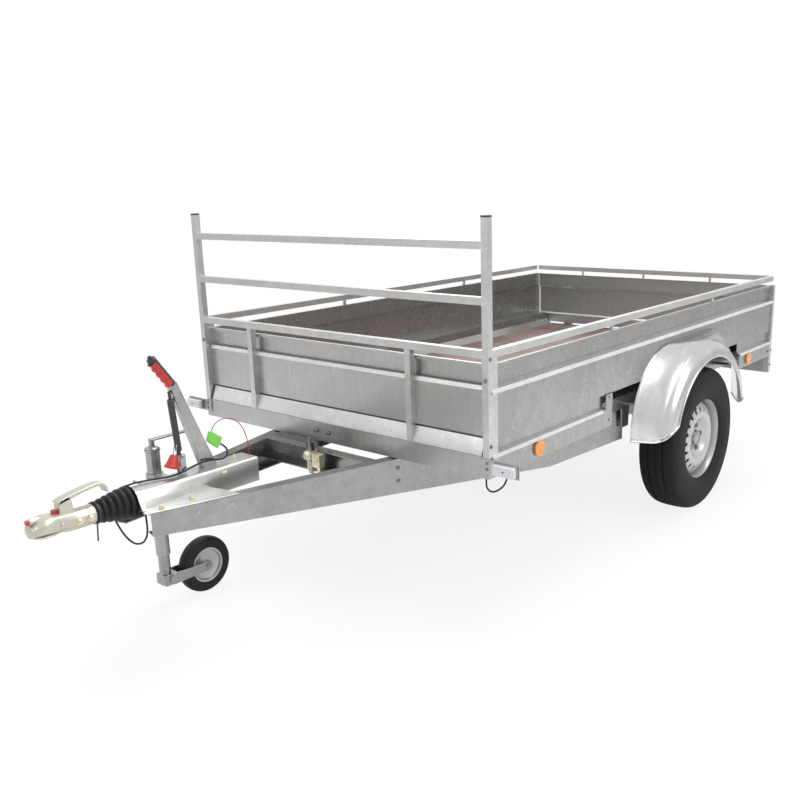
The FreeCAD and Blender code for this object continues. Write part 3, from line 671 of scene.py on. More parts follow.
def holedRing(v, side=8):
    # Sector (t, k): k = 0 lies on a hole's rim, k = 1 on the sector's own edge, straight lines between.
    line = np.linspace(-1, 1, side + 1)[:-1]
    square = np.vstack([np.column_stack([line, -np.ones(side)]), np.column_stack([np.ones(side), line]),
                        np.column_stack([-line, np.ones(side)]), np.column_stack([-np.ones(side), -line])])
    angle = np.arctan2(square[:, 1], square[:, 0])
    sector = np.pi / v["holes"]
    hole = np.column_stack([v["holeWide"] * np.cos(angle) / v["holeCircle"],
                            v["holeCircle"] + v["holeLong"] * np.sin(angle)])
    reach = np.interp(square[:, 1], (-1, 1), (v["ringInner"], v["ringOuter"]))
    edge = np.column_stack([square[:, 0] * sector, reach])
    k = np.array([0.0, 0.12, 0.4, 0.7, 1.0])[:, None, None]
    flat = (1 - k) * hole[None] + k * edge[None]
    lip = np.array([-0.004, 0.0, 0.0, 0.0, 0.0])[:, None]
    turns = np.arange(v["holes"]) * 2 * sector
    theta = flat[None, :, :, 0] + turns[:, None, None]
    r = flat[None, :, :, 1] + 0 * theta
    depth = discDepth(r) + lip[None]
    points = np.stack([r * np.cos(theta), depth, r * np.sin(theta)], -1)
    faces = gridFaces(len(k), 4 * side, closeColumns=True)
    count = len(k) * 4 * side
    whole = (faces[None] + (np.arange(v["holes"]) * count)[:, None, None]).reshape(-1, 4)
    return points.reshape(-1, 3), whole


def makeRims(v):
    # The disc is turned inside and outside the ring of holes; the barrel is one turned line.
    hub = np.array(tyreValues["centre"])
    r, steps = v["radius"], v["steps"]
    inner = np.array([0.036, 0.040, 0.066, 0.072, 0.083, 0.096, 0.104, 0.110, v["ringInner"]])
    outer = np.linspace(v["ringOuter"], v["discEdge"], 8)
    parts = [lathe(np.column_stack([discDepth(radii), radii]), hub, (0, 1, 0), steps)
             for radii in (inner, outer)]
    ring = holedRing(v)
    parts.append((ring[0] + hub, ring[1]))
    barrel = [(-0.077, r - 0.019), (-0.077, r), (-0.0735, r + 0.0005), (-0.070, r - 0.004),
              (-0.062, r - 0.012), (-0.045, r - 0.014), (0.0, r - 0.020), (0.045, r - 0.014),
              (0.060, r - 0.012), (0.068, r - 0.006), (0.0715, r + 0.0003), (0.0745, r + 0.0008),
              (0.077, r - 0.0008), (0.0778, r - 0.004), (0.0765, r - 0.0075), (0.071, r - 0.0105),
              (0.062, r - 0.0155), (0.040, r - 0.0165), (0.020, r - 0.0165), (-0.060, r - 0.0185),
              (-0.077, r - 0.019)]
    parts.append(lathe(barrel, hub, (0, 1, 0), steps))
    # An oversized near-black backing stands for the brake drum and paints the shade seen through the disc's
    # holes
    back = lathe([(-0.076, 0.0), (-0.076, 0.160), (0.022, 0.160), (0.026, 0.156), (0.026, 0.0)],
                 hub, (0, 1, 0), 64)
    cap = lathe([(0.034, 0.0365), (0.044, 0.0345), (0.050, 0.0325), (0.0525, 0.028), (0.0535, 0.010),
                 (0.0535, 0.0)], hub, (0, 1, 0), 64)
    bolts = []
    for k in range(v["bolts"]):
        turn = v["firstBolt"] + k * 2 * math.pi / v["bolts"]
        spot = hub + (v["boltCircle"] * math.cos(turn), v["boltSeat"], v["boltCircle"] * math.sin(turn))
        bolts += boltHead(spot, (0, 1, 0), 0.0105, 0.013, 0.001)
    turn = v["valveTurn"]
    base = hub + (v["valveCircle"] * math.cos(turn), v["valveSeat"], v["valveCircle"] * math.sin(turn))
    valve = [lathe([(0, 0), (0, 0.0065), (0.006, 0.006), (0.008, 0.0042), (0.022, 0.0040), (0.023, 0.0045),
                    (0.031, 0.0045), (0.033, 0.003), (0.033, 0)], base, (-0.2, 1, -0.5), 16)]
    for side, flip in bothSides:
        body = "wheel_" + side
        makePiece("steel_rim_" + side, body, "rim", flip(parts), replaced=("rim_" + side,), smooth=38.0)
        makePiece("drum_" + side, body, "drum", flip([back]), smooth=38.0)
        makePiece("hub_cap_" + side, body, "zinc", flip([cap] + bolts), smooth=38.0)
        makePiece("valve_" + side, body, "rubber", flip(valve), smooth=38.0)


makeRims(rimValues)
print("wheels made")


# Overrun housing: a folded hood that narrows into the box behind it

housingValues = {
    "rear": 1.896, "box": 2.090, "front": 2.362, "base": 0.527, "top": 0.583, "feet": (0.5272, 0.5312),
}
drawbarValues = {"tipX": 2.362, "tipY": 0.106, "run": 1.962, "spread": 0.536}


def drawbarEdge(x):
    # The drawbar's outer face spreads evenly from its tip to its rear end.
    v = drawbarValues
    return v["tipY"] + v["spread"] * (v["tipX"] - x) / v["run"]


def housingSection(v, share):
    # Corners (y, z, rounding) of the cover at a share of the way from the box to its front edge.
    mix = lambda a, b: a + (b - a) * share
    right = [(mix(0.048, 0.066), v["base"] - mix(0.029, 0.0), 0.002),
             (mix(0.048, 0.052), mix(0.545, 0.556), 0.006),
             (mix(0.0478, 0.034), mix(0.5825, v["top"]), mix(0.009, 0.014))]
    return right + [(-y, z, r) for y, z, r in right[::-1]]


def loftAlong(sections, places):
    # Rounded outlines of as many corners, one at each place along the trailer, with closed ends.
    rings = [roundedLine(s) for s in sections]
    count = len(rings[0])
    points = np.vstack([np.column_stack([np.full(count, x), ring]) for x, ring in zip(places, rings)])
    ends = [list(range(count))[::-1], list(range(len(points) - count, len(points)))]
    return points, gridFaces(len(rings), count, closeColumns=True).tolist() + ends


def makeHousing(v):
    # One section from the rear to the box, then evenly wider to the front, with a slightly larger collar.
    share = np.linspace(0, 1, 10)
    spots = [v["rear"], *(v["box"] + (v["front"] - v["box"]) * share)]
    cover = loftAlong([housingSection(v, s) for s in (0.0, *share)], spots)
    collar = loftAlong([housingSection(v, 1.0)] * 2, (v["front"] - 0.012, v["front"] + 0.002))
    collar[0][:, 1] *= 1.03
    collar[0][:, 2] = v["base"] + (collar[0][:, 2] - v["base"]) * 1.04
    rear, tip = drawbarEdge(2.082), drawbarEdge(2.360) - 0.006
    wings = []
    for side in (1, -1):
        plan = [(2.360, side * 0.060), (2.100, side * 0.046), (2.082, side * (rear - 0.039)),
                (2.082, side * (rear - 0.006)), (2.360, side * tip)]
        if side > 0:
            plan += [(2.372, 0.100), (2.372, 0.080), (2.360, 0.078)]
        wings.append(extruded(plan, "Z", *v["feet"]))
    makePiece("overrun_cover", "drawbar", "tubes", [cover, collar], replaced=("overrun_housing",),
              smooth=30.0)
    makePiece("overrun_feet", "drawbar", "tubes", wings, smooth=30.0, bevel=0.0008)
    bolts = []
    for x, y in ((2.205, 0.094), (2.205, -0.094), (2.315, 0.092), (2.315, -0.092)):
        bolts += boltHead((x, y, v["feet"][1]), (0, 0, 1), 0.008, 0.008, 0.004)
    bolts += boltHead((1.955, -0.004, v["top"]), (0, 0, 1), 0.007, 0.009, 0.006)
    for x in (2.045, 2.036):
        bolts += boltHead((x, 0.0475, 0.563), (0, 1, 0), 0.006, 0.005, 0.003)
    makePiece("overrun_bolts", "drawbar", "brass", bolts, smooth=30.0)


makeHousing(housingValues)

# Bellows: a ribbed sleeve, each fold a little different, with a strap round its front

bellowsValues = {"start": 2.363, "end": 2.492, "axis": 0.548, "folds": (0.052, 0.0505, 0.0475, 0.044, 0.0405)}


def makeBellows(v):
    # The radius swings between a fold's crest and its root as a rounded wave.
    profile = [(0.0, 0.026), (0.0, 0.051), (0.003, 0.053)]
    step = (v["end"] - v["start"] - 0.024) / len(v["folds"])
    for k, crest in enumerate(v["folds"]):
        start = 0.004 + step * k
        t = np.linspace(0.08, 0.97, 12)
        wave = np.clip(np.sin(t * np.pi), 0, 1) ** 0.55
        rows = np.column_stack([start + t * step, crest - 0.0125 * (1 - wave) - 0.0006 * k])
        profile += rows.tolist()
    end = v["end"] - v["start"]
    profile += [(end - 0.019, 0.0345), (end - 0.016, 0.0335), (end - 0.001, 0.0335), (end, 0.032),
                (end, 0.026)]
    centre = (v["start"], 0.0, v["axis"])
    makePiece("overrun_bellows", "drawbar", "rubber", [lathe(profile, centre, (1, 0, 0), 72)],
              replaced=("bellows",), smooth=60.0)
    strap = lathe([(end - 0.012, 0.0336), (end - 0.012, 0.0352), (end - 0.007, 0.0352),
                   (end - 0.007, 0.0336)], centre, (1, 0, 0), 48)
    tie = extruded([(2.4873, 0.5184), (2.4912, 0.5184), (2.4950, 0.4660), (2.4912, 0.4657)],
                   "Y", 0.0185, 0.0215)
    makePiece("bellows_strap", "drawbar", "plastic", [strap, tie], smooth=40.0)


makeBellows(bellowsValues)

# Coupling head: a pressed shell that runs from the round sleeve into the ball socket

couplingValues = {
    "axis": 0.548, "ring": 64, "leverWide": 0.0165,
    "stations": [(2.490, 0.0310, 0.517, 0.579, 2.0), (2.520, 0.0310, 0.517, 0.579, 2.0),
                 (2.552, 0.0312, 0.517, 0.5795, 2.0), (2.575, 0.0325, 0.520, 0.581, 2.4),
                 (2.605, 0.0360, 0.527, 0.583, 3.2), (2.640, 0.0415, 0.5335, 0.584, 3.6),
                 (2.662, 0.0400, 0.534, 0.578, 3.2), (2.677, 0.0320, 0.534, 0.569, 2.8),
                 (2.686, 0.0200, 0.535, 0.560, 2.4), (2.688, 0.0080, 0.540, 0.553, 2.0)],
}


def couplingSurface(v):
    # Each ring is a rounded square: y = a * cos^(2/n) t, z = middle + b * sin^(2/n) t.
    stations, count = np.array(v["stations"]), v["ring"]
    at = np.concatenate([np.linspace(stations[0, 0], 2.660, 40), np.linspace(2.664, stations[-1, 0], 14)])
    rows = smoothRows(stations[:, 0], stations[:, 1:], at)
    a, low, high, power = (column[:, None] for column in rows.T)
    turn = np.arange(count) * 2 * np.pi / count
    c, s = np.cos(turn)[None, :], np.sin(turn)[None, :]
    y = a * np.sign(c) * np.abs(c) ** (2 / power)
    z = (low + high) / 2 + (high - low) / 2 * np.sign(s) * np.abs(s) ** (2 / power)
    points = np.stack([np.repeat(at[:, None], count, 1), y, z], -1).reshape(-1, 3)
    ends = [list(range(count))[::-1], list(range(len(points) - count, len(points)))]
    return points, gridFaces(len(at), count, closeColumns=True).tolist() + ends


def makeCoupling(v):
    # The lever is a band of changing thickness about its middle line, as wide as its root.
    wide = v["leverWide"]
    lip = lathe([(0.0, 0.030), (-0.0005, 0.043), (0.002, 0.0445), (0.0045, 0.0435), (0.005, 0.030)],
                (2.644, 0.0, 0.5335), (0, 0, 1), 64)
    plan = roundedLine([(2.565, -0.031, 0.004), (2.660, -0.043, 0.01), (2.660, 0.043, 0.01),
                        (2.565, 0.031, 0.004)])
    skirt = extruded(plan, "Z", 0.5345, 0.5385)
    knob = lathe([(0, 0), (0, 0.0085), (0.006, 0.0105), (0.026, 0.0110), (0.032, 0.0095), (0.034, 0.006),
                  (0.034, 0)], (2.650, 0.0, 0.579), (1, 0, 0), 40)
    bolts = []
    for x in (2.512, 2.548):
        for s in (1, -1):
            bolts += boltHead((x, s * 0.0312, v["axis"]), (0, s, 0), 0.0085, 0.007, 0.003)
    rivets = [lathe([(0, 0.006), (0.003, 0.0055), (0.0045, 0.003), (0.0047, 0)], (2.602, s * 0.0355, 0.556),
                    (0, s, 0), 20) for s in (1, -1)]
    makePiece("coupling_shell", "drawbar", "coupling", [couplingSurface(v), lip, skirt, knob] + rivets,
              replaced=("coupling_head",), smooth=32.0)
    makePiece("coupling_bolts", "drawbar", "brass", bolts, smooth=30.0)
    red = lathe([(0, 0.0), (0, 0.0075), (0.002, 0.0085), (0.005, 0.0085), (0.007, 0.006), (0.0075, 0)],
                (2.6843, 0.0, 0.579), (1, 0, 0), 32)
    mark = extruded(roundedBox((2.5985, 0.582), (2.6125, 0.5945), 0.004), "Y", -0.007, 0.007)
    makePiece("coupling_marks", "drawbar", "redPlastic", [mark], smooth=30.0)
    makePiece("coupling_nose", "drawbar", "redPlastic", [red], smooth=30.0)
    root = extruded(roundedLine([(2.551, 0.5755, 0.004), (2.597, 0.5755, 0.004), (2.594, 0.618, 0.009),
                                 (2.560, 0.627, 0.010)]), "Y", -wide, wide)
    bar = [(2.597, 0.612), (2.585, 0.6175), (2.540, 0.6265), (2.505, 0.633), (2.472, 0.6365), (2.458, 0.634),
           (2.447, 0.624), (2.441, 0.607)]
    centre = np.array(bar)
    along = np.gradient(centre, axis=0)
    normal = np.column_stack([-along[:, 1], along[:, 0]]) / np.linalg.norm(along, axis=1)[:, None]
    thick = np.array([0.006, 0.006, 0.0055, 0.005, 0.005, 0.005, 0.0045, 0.004])[:, None]
    outline = np.vstack([centre + normal * thick, (centre - normal * thick)[::-1]])
    handle = extruded(outline, "Y", -wide, wide)
    makePiece("coupling_lever", "drawbar", "coupling", [root, handle], replaced=("coupling_handle",),
              smooth=40.0, bevel=0.0022)


makeCoupling(couplingValues)

# Handbrake: a tapered channel with its moulded grip, and the strut that holds it up

brakeValues = {
    "y": -0.016, "half": 0.012, "sheet": 0.0035, "low": 0.560, "pivot": 0.605, "high": 0.888,
    "rear": (2.038, 2.156), "front": (2.091, 2.182),
    "gripStart": (2.165, -0.016, 0.880), "gripAxis": (0.5796, 0.0, 0.8149),
    "gripLength": 0.112, "gripRadius": 0.0148,
    "strutLow": (2.162, 0.645), "strutHigh": (2.1756, 0.833),
}


def scallopDepth(along):
    # Four finger hollows along the grip.
    hollow = np.clip(np.sin((along - 0.06) / 0.84 * 4 * 2 * np.pi - np.pi / 2) * 0.5 + 0.5, 0, 1)
    return 0.0034 * hollow[None, :]


def makeBrake(v):
    # The lever's edges are straight lines through their places at the pivot's height and at the top.
    rise = (v["low"] - v["pivot"]) / (v["high"] - v["pivot"])
    low, high, sheet = v["low"], v["high"], v["sheet"]
    rearLow, frontLow = (v[k][0] + (v[k][1] - v[k][0]) * rise for k in ("rear", "front"))
    rearHigh, frontHigh = v["rear"][1], v["front"][1]
    y0, y1 = v["y"] - v["half"], v["y"] + v["half"]
    whole = [(rearLow, low), (frontLow, low), (frontHigh, high), (rearHigh, high)]
    front = [(frontLow - sheet, low), (frontLow, low), (frontHigh, high), (frontHigh - sheet, high)]
    rear = [(rearLow, low), (rearLow + sheet, low), (rearHigh + sheet, high), (rearHigh, high)]
    parts = [extruded(whole, "Y", y1 - sheet, y1), extruded(front, "Y", y0, y1), extruded(rear, "Y", y0, y1)]
    makePiece("hand_lever", "drawbar", "zinc", parts, replaced=("brake_lever",), bevel=0.0009)
    # The grip's inlay is raised in front by cos(lean) less the depth of the finger hollows.
    length, r = v["gripLength"], v["gripRadius"]
    t = np.linspace(0, 1, 60)
    scallop = 0.0022 * np.clip(np.sin((t - 0.1) * 4.2 * 2 * np.pi), -0.2, 1) * ((t > 0.1) & (t < 0.86))
    body = [(0, 0), (0, r * 0.9)] + np.column_stack([t * length, r - scallop * 0.3]).tolist()
    body += [(length + 0.002, r * 0.85), (length + 0.003, 0.007), (length + 0.010, 0.0065),
             (length + 0.011, 0)]
    makePiece("hand_grip", "drawbar", "plastic", [lathe(body, v["gripStart"], v["gripAxis"], 40)],
              replaced=("brake_grip",), smooth=50.0)
    axis = np.array(v["gripAxis"])
    toFront = np.array((axis[2], 0.0, -axis[0]))
    side = np.array((0.0, 1.0, 0.0))
    lean = np.radians(np.linspace(-98, 98, 26))
    ring = np.cos(lean)[:, None] * toFront + np.sin(lean)[:, None] * side
    along = np.linspace(0.06, 0.90, 60)
    radius = r + 0.0006 + (0.0046 - scallopDepth(along)) * np.clip(np.cos(lean)[:, None], 0, 1)
    points = (np.array(v["gripStart"]) + (along * length)[None, :, None] * axis
              + radius[:, :, None] * ring[:, None, :])
    makePiece("hand_grip_inlay", "drawbar", "redPlastic", [(points.reshape(-1, 3), gridFaces(26, 60))],
              smooth=60.0, thickness=0.003)
    foot, head = (np.array((v[k][0], v["y"], v[k][1])) for k in ("strutLow", "strutHigh"))
    total = float(np.linalg.norm(head - foot))
    along = (head - foot) / total
    strut = [(0.0, 0.0), (0.0, 0.006), (0.012, 0.006), (0.014, 0.0098), (0.018, 0.0108),
             (total - 0.004, 0.0108), (total, 0.009), (total, 0.005), (total + 0.026, 0.005),
             (total + 0.026, 0.0)]
    cheeks = [extruded(roundedLine([(2.148, 0.580, 0.001), (2.168, 0.580, 0.001), (2.168, 0.649, 0.008),
                                    (2.148, 0.649, 0.008)]), "Y", y, y + 0.004) for y in (-0.029, -0.007)]
    makePiece("lever_strut", "drawbar", "blackPaint", [lathe(strut, foot, along, 32)],
              replaced=("brake_strut",))
    pin = boltHead((2.160, -0.003, 0.641), (0, 1, 0), 0.006, 0.005)
    makePiece("strut_cheeks", "drawbar", "zinc", cheeks + pin)
    top, end = np.array((2.178, -0.020, 0.649)), np.array((2.194, -0.020, 0.607))
    deep = float(np.linalg.norm(end - top))
    along = (end - top) / deep
    cup = [(0, 0), (0.001, 0.010), (0.004, 0.0125), (deep - 0.010, 0.0205), (deep - 0.008, 0.023),
           (deep, 0.0235), (deep, 0.0205), (deep - 0.010, 0.0185), (0.008, 0.010), (0.007, 0)]
    makePiece("plug_holder", "drawbar", "redPlastic", [lathe(cup, top, along, 40)], smooth=40.0)
    bail = [(2.176, -0.030, 0.640), (2.171, -0.032, 0.660), (2.168, -0.028, 0.682), (2.170, -0.020, 0.692),
            (2.173, -0.010, 0.682), (2.176, -0.008, 0.660), (2.180, -0.010, 0.640)]
    wire = sweepTube(bail, 0.0014, 8, (1, 0.2, 0))
    makePiece("plug_holder_wire", "drawbar", "zinc", [wire], smooth=60.0)


makeBrake(brakeValues)

tagLine = roundedLine([(2.038, 0.698, 0.004), (1.991, 0.664, 0.004), (2.013, 0.631, 0.004),
                       (2.052, 0.665, 0.004)])
cableTag = makePiece("cable_clip", "drawbar", "green", [extruded(tagLine, "Y", -0.023, -0.011)], bevel=0.0015)
for cord, finishName in ((breakawayCable, "rubber"), (signalWire, "redWire"), (lampCable, "rubber")):
    cord.data.materials.append(materials[finishName])
print("drawbar fittings made")

# Jockey wheel

jockeyValues = {
    "x": 2.088, "y": -0.290, "axle": 1.920, "height": 0.107, "tubeLow": 0.087, "tubeTop": 0.470,
    "outerLow": 0.205, "capLow": 0.600, "crank": (0.6295, 0.6355), "crankLong": 0.155, "clamp": 0.487,
}


def makeJockey(v):
    # Tyre, rim, tubes, cap and knob are turned lines; the fork's cheeks link the tube's foot to the axle.
    x, y, axle, height = v["x"], v["y"], v["axle"], v["height"]
    hub = (axle, y, height)
    tyre = [(-0.023, 0.0655), (-0.0245, 0.068), (-0.025, 0.074), (-0.0247, 0.084), (-0.023, 0.0935),
            (-0.0185, 0.1015), (-0.011, 0.1058), (0.0, 0.1069)]
    tyre += [(-a, b) for a, b in tyre[::-1][1:]]
    tyre = smoothRows(np.linspace(0, 1, len(tyre)), tyre, np.linspace(0, 1, 60))
    makePiece("jockey_wheel_tyre", "jockey_wheel", "rubber", [lathe(tyre, hub, (0, 1, 0), 96)],
              replaced=("jockey_tyre",), smooth=60.0)
    rim = [(-0.024, 0.0085), (-0.024, 0.0165), (-0.010, 0.0185), (-0.0075, 0.030), (-0.0075, 0.046),
           (-0.0125, 0.056), (-0.0225, 0.0605), (-0.0235, 0.0665), (0.0235, 0.0665), (0.0225, 0.0605),
           (0.0125, 0.056), (0.0075, 0.046), (0.0075, 0.030), (0.010, 0.0185), (0.024, 0.0165),
           (0.024, 0.0085)]
    makePiece("jockey_wheel_rim", "jockey_wheel", "rim", [lathe(rim, hub, (0, 1, 0), 72)],
              replaced=("jockey_rim",))
    top, low = v["tubeTop"], v["tubeLow"]
    tube = lathe([(0, 0.0), (0, 0.0205), (top - low, 0.0205), (top - low, 0.0143), (0.012, 0.0143),
                  (0.012, 0)], (x, y, low), (0, 0, 1), 40)
    parts = [tube]
    for s in (1, -1):
        cheek = linkOutline((x - 0.0205, low + 0.0205), 0.021, (axle, height), 0.017)
        parts.append(extruded(cheek, "Y", y + s * 0.027, y + s * 0.032))
    bridge = roundedLine([(x + 0.0205, low, 0.006), (x + 0.0205, low + 0.041, 0.002),
                          (x - 0.036, low + 0.041, 0.004), (x - 0.036, low, 0.004)])
    parts.append(extruded(bridge, "Y", y - 0.0275, y + 0.0275))
    makePiece("jockey_wheel_fork", "jockey_fork", "bar", parts, replaced=("jockey_fork",),
              bevel=0.0008)
    nuts = []
    for s in (1, -1):
        nuts += boltHead((axle, y + s * 0.032, height), (0, s, 0), 0.0105, 0.007, 0.002)
    makePiece("jockey_axle_nuts", "jockey_fork", "zinc", nuts, smooth=30.0)
    outer = lathe([(0.0, 0.0209), (0.0, 0.025), (0.386, 0.025), (0.388, 0.028), (0.395, 0.028),
                   (0.395, 0.0209)], (x, y, v["outerLow"]), (0, 0, 1), 48)
    makePiece("jockey_tube", "drawbar", "zinc", [outer], replaced=("jockey_outer_tube",))
    cap = lathe([(0, 0), (0, 0.0245), (0.004, 0.0245), (0.006, 0.022), (0.006, 0.010), (0.030, 0.010),
                 (0.030, 0.0)], (x, y, v["capLow"]), (0, 0, 1), 40)
    far = x - v["crankLong"]
    arm = extruded(linkOutline((x, y), 0.0115, (far, y), 0.0115), "Z", *v["crank"])
    knob = lathe([(0, 0), (0, 0.0125), (0.003, 0.013), (0.006, 0.0105), (0.012, 0.010), (0.040, 0.0112),
                  (0.054, 0.0108), (0.061, 0.008), (0.0635, 0.004), (0.064, 0)],
                 (far, y, v["crank"][1]), (0, 0, 1), 32)
    makePiece("jockey_handle", "drawbar", "zinc", [cap, arm, knob], replaced=("jockey_crank",), bevel=0.0006)
    lever = lathe([(0, 0.0), (0, 0.008), (0.010, 0.008), (0.012, 0.005), (0.030, 0.005), (0.032, 0.0)],
                  (x + 0.029, y, v["clamp"]), (1, 0, 0), 24)
    handle = sweepTube([(x + 0.058, y - 0.045, 0.4865), (x + 0.059, y, 0.487),
                        (x + 0.058, y + 0.030, 0.4875)], 0.0045, 12)
    makePiece("jockey_clamp_screw", "drawbar", "zinc", [lever, handle], smooth=40.0)


makeJockey(jockeyValues)
print("jockey wheel made")

# Bolts: places (x, z) on the drawbars' outer faces, then places on the bed's faces

boltValues = {
    "heads": ((1.503, 0.492), (1.503, 0.443)), "rivets": ((2.2195, 0.5015), (2.114, 0.5015)),
    "side": 0.7502, "frontPost": (1.500, (0.930, 0.640, 0.590)), "postFace": (1.5122, 0.737, 0.8605),
    "brace": (0.718, (0.560, 0.652)), "beamFace": (1.516, 0.742, (0.566, 0.587)),
    "rear": ((-1.000, -1.040), (0.480, 0.560)),
}


def makeBolts(v):
    # A bolt stands on its face and points outwards from it, on both of the trailer's sides.
    lean = math.atan2(drawbarValues["spread"], drawbarValues["run"])
    outward = np.array((math.sin(lean), math.cos(lean), 0.0))
    rivet = [(-0.001, 0.0), (0.0002, 0.0062), (0.0012, 0.006), (0.0015, 0.0)]
    web = []
    for x, z in v["heads"] + v["rivets"]:
        for s in (1, -1):
            spot, axis = np.array((x, s * drawbarEdge(x), z)), outward * (1, s, 1)
            if (x, z) in v["heads"]:
                web += boltHead(spot, axis, 0.0078, 0.007, 0.004)
            else:
                web.append(lathe(rivet, spot, axis, 20))
    makePiece("drawbar_bolts", "drawbar", "zinc", web, smooth=30.0)
    postX, postHeights = v["frontPost"]
    braceX, braceHeights = v["brace"]
    beamX, beamY, beamHeights = v["beamFace"]
    bed = []
    for s in (1, -1):
        side, outwards = s * v["side"], (0, s, 0)
        for z in postHeights:
            bed += boltHead((postX, side, z), outwards, 0.0055, 0.004, 0.002)
        bed += boltHead(np.array(v["postFace"]) * (1, s, 1), (1, 0, 0), 0.0062, 0.005, 0.002)
        for z in braceHeights:
            bed += boltHead((braceX, side, z), outwards, 0.0050, 0.003, 0.002)
        for z in beamHeights:
            bed += boltHead((beamX, s * beamY, z), (1, 0, 0), 0.0050, 0.004, 0.002)
        for x in v["rear"][0]:
            for z in v["rear"][1]:
                bed += boltHead((x, side, z), outwards, 0.0055, 0.004, 0.002)
    makePiece("bed_bolts", "bed", "zinc", bed, smooth=30.0)


makeBolts(boltValues)

# Pressed folds of the walls and the frame's sloping top edge, in a paler finish that paints on the highlight
# they get from above

foldValues = {
    "side": 0.750, "sideHigh": (0.812, 0.829), "sideLow": (0.594, 0.609), "rear": -1.020, "head": 1.495,
    "guard": (-0.610, 0.770), "front": 1.4870, "frontHigh": (0.8195, 0.8375), "half": 0.716,
    "ledge": (1.5085, 0.6042), "slopeTop": 0.660,
}


def foldLine(face, low, high):
    # A fold leaves its wall at a flat slope, stands out furthest near its foot and runs back into the wall.
    return [(face - 0.0005, low), (face + 0.0065, low + 0.004), (face + 0.0005, high), (face - 0.0005, high)]


def makeFolds(v):
    # A side wall's high fold runs its whole length and the low one stops beside the mudguard; the front
    # wall has one fold and the slope that leads from its face to the beam.
    side = [extruded(foldLine(v["side"], *v["sideHigh"]), "X", v["rear"], v["head"])]
    for start, end in ((v["guard"][1], v["head"]), (v["rear"], v["guard"][0])):
        side.append(extruded(foldLine(v["side"], *v["sideLow"]), "X", start, end))
    for name, flip in bothSides:
        # The folds' paler finish is a painted highlight
        makePiece("wall_folds_" + name, "bed", "fold", flip(side), smooth=30.0, bevel=0.0012)
    face, half, high = v["front"], v["half"], v["slopeTop"]
    out, low = v["ledge"]
    slope = [(face - 0.001, low), (out, low), (out, low + 0.002), (face + 0.0007, high), (face - 0.001, high)]
    front = [extruded(slope, "Y", -half, half), extruded(foldLine(face, *v["frontHigh"]), "Y", -half, half)]
    makePiece("wall_folds_front", "bed", "fold", front, smooth=30.0, bevel=0.0008)


makeFolds(foldValues)

# Latch of the tipping bed: a drum and a block on two legs, and the keeper's nuts on the bed

latchValues = {"face": 1.606, "top": 0.527, "legs": (-0.020, 0.030), "legWide": 0.014,
               "keeper": (1.5122, 0.571), "keeperNuts": (-0.069, -0.004)}


def makeLatch(v):
    # All parts stand forward of the cross member's face; heights hang from its top.
    face, top = v["face"], v["top"]
    drum = lathe([(0, 0), (0, 0.019), (0.022, 0.019), (0.026, 0.016), (0.028, 0.012), (0.032, 0.011),
                  (0.034, 0)], (face, -0.004, top - 0.019), (1, 0, 0), 36)
    block = extruded(roundedBox((0.026, top - 0.055), (0.066, top - 0.004), 0.005), "X", face, face + 0.026)
    low, high, wide = top - 0.092, top - 0.030, v["legWide"]
    legs = [extruded([(y, low), (y + wide, low), (y + wide, high), (y, high)], "X", face, face + 0.005)
            for y in v["legs"]]
    nuts = boltHead((face + 0.026, 0.046, high), (1, 0, 0), 0.009, 0.008, 0.004)
    nuts += boltHead((face + 0.005, -0.013, top - 0.075), (1, 0, 0), 0.007, 0.006, 0.003)
    makePiece("latch_parts", "drawbar", "brass", [drum, block] + legs + nuts, bevel=0.0006)
    x, z = v["keeper"]
    keeper = []
    for y in v["keeperNuts"]:
        keeper += boltHead((x, y, z), (1, 0, 0), 0.009, 0.008, 0.005)
    makePiece("latch_keeper_nuts", "bed", "zinc", keeper)


makeLatch(latchValues)

# Lamps: white markers in front, three lenses in a dark case behind

markerValues = {"back": 1.516, "face": 1.524, "base": ((0.771, 0.556), (0.867, 0.597)),
                "glass": ((0.774, 0.559), (0.864, 0.594)), "screw": (1.5398, 0.823, 0.577)}


def makeMarkers(v):
    # The lens is its rounded outline, drawn in towards its middle by a share k at each place x.
    base = extruded(roundedBox(*v["base"], 0.004), "X", v["back"], v["face"])
    glass = roundedBox(*v["glass"], 0.007)
    middle = glass.mean(0)
    rows = [(v["face"], 1.0), (1.534, 0.99), (1.5375, 0.95), (1.5395, 0.86), (v["screw"][0], 0.0)]
    points = np.vstack([np.column_stack([np.full(len(glass), x), middle + (glass - middle) * k])
                        for x, k in rows])
    lens = (points, gridFaces(len(rows), len(glass), closeColumns=True))
    dot = lathe([(0, 0), (0, 0.0035), (0.0012, 0.003), (0.0014, 0)], v["screw"], (1, 0, 0), 24)
    for side, flip in bothSides:
        replaced = ("front_lamps",) if side == "left" else ()
        makePiece("marker_base_" + side, "bed", "zinc", flip([base]), bevel=0.0006)
        makePiece("marker_lens_" + side, "bed", "clearLens", flip([lens]), replaced=replaced)
        makePiece("marker_screw_" + side, "bed", "plastic", flip([dot]))


makeMarkers(markerValues)

tailLampValues = {
    "rear": -1.0535, "front": -1.030, "lensDeep": 0.006, "case": ((0.481, 0.446), (0.709, 0.524)),
    "heights": (0.449, 0.521),
    "lenses": (("stop", 0.560, 0.630, "redLens"), ("turn", 0.633, 0.706, "orangeLens"),
               ("fog", 0.484, 0.557, "redLens")),
}


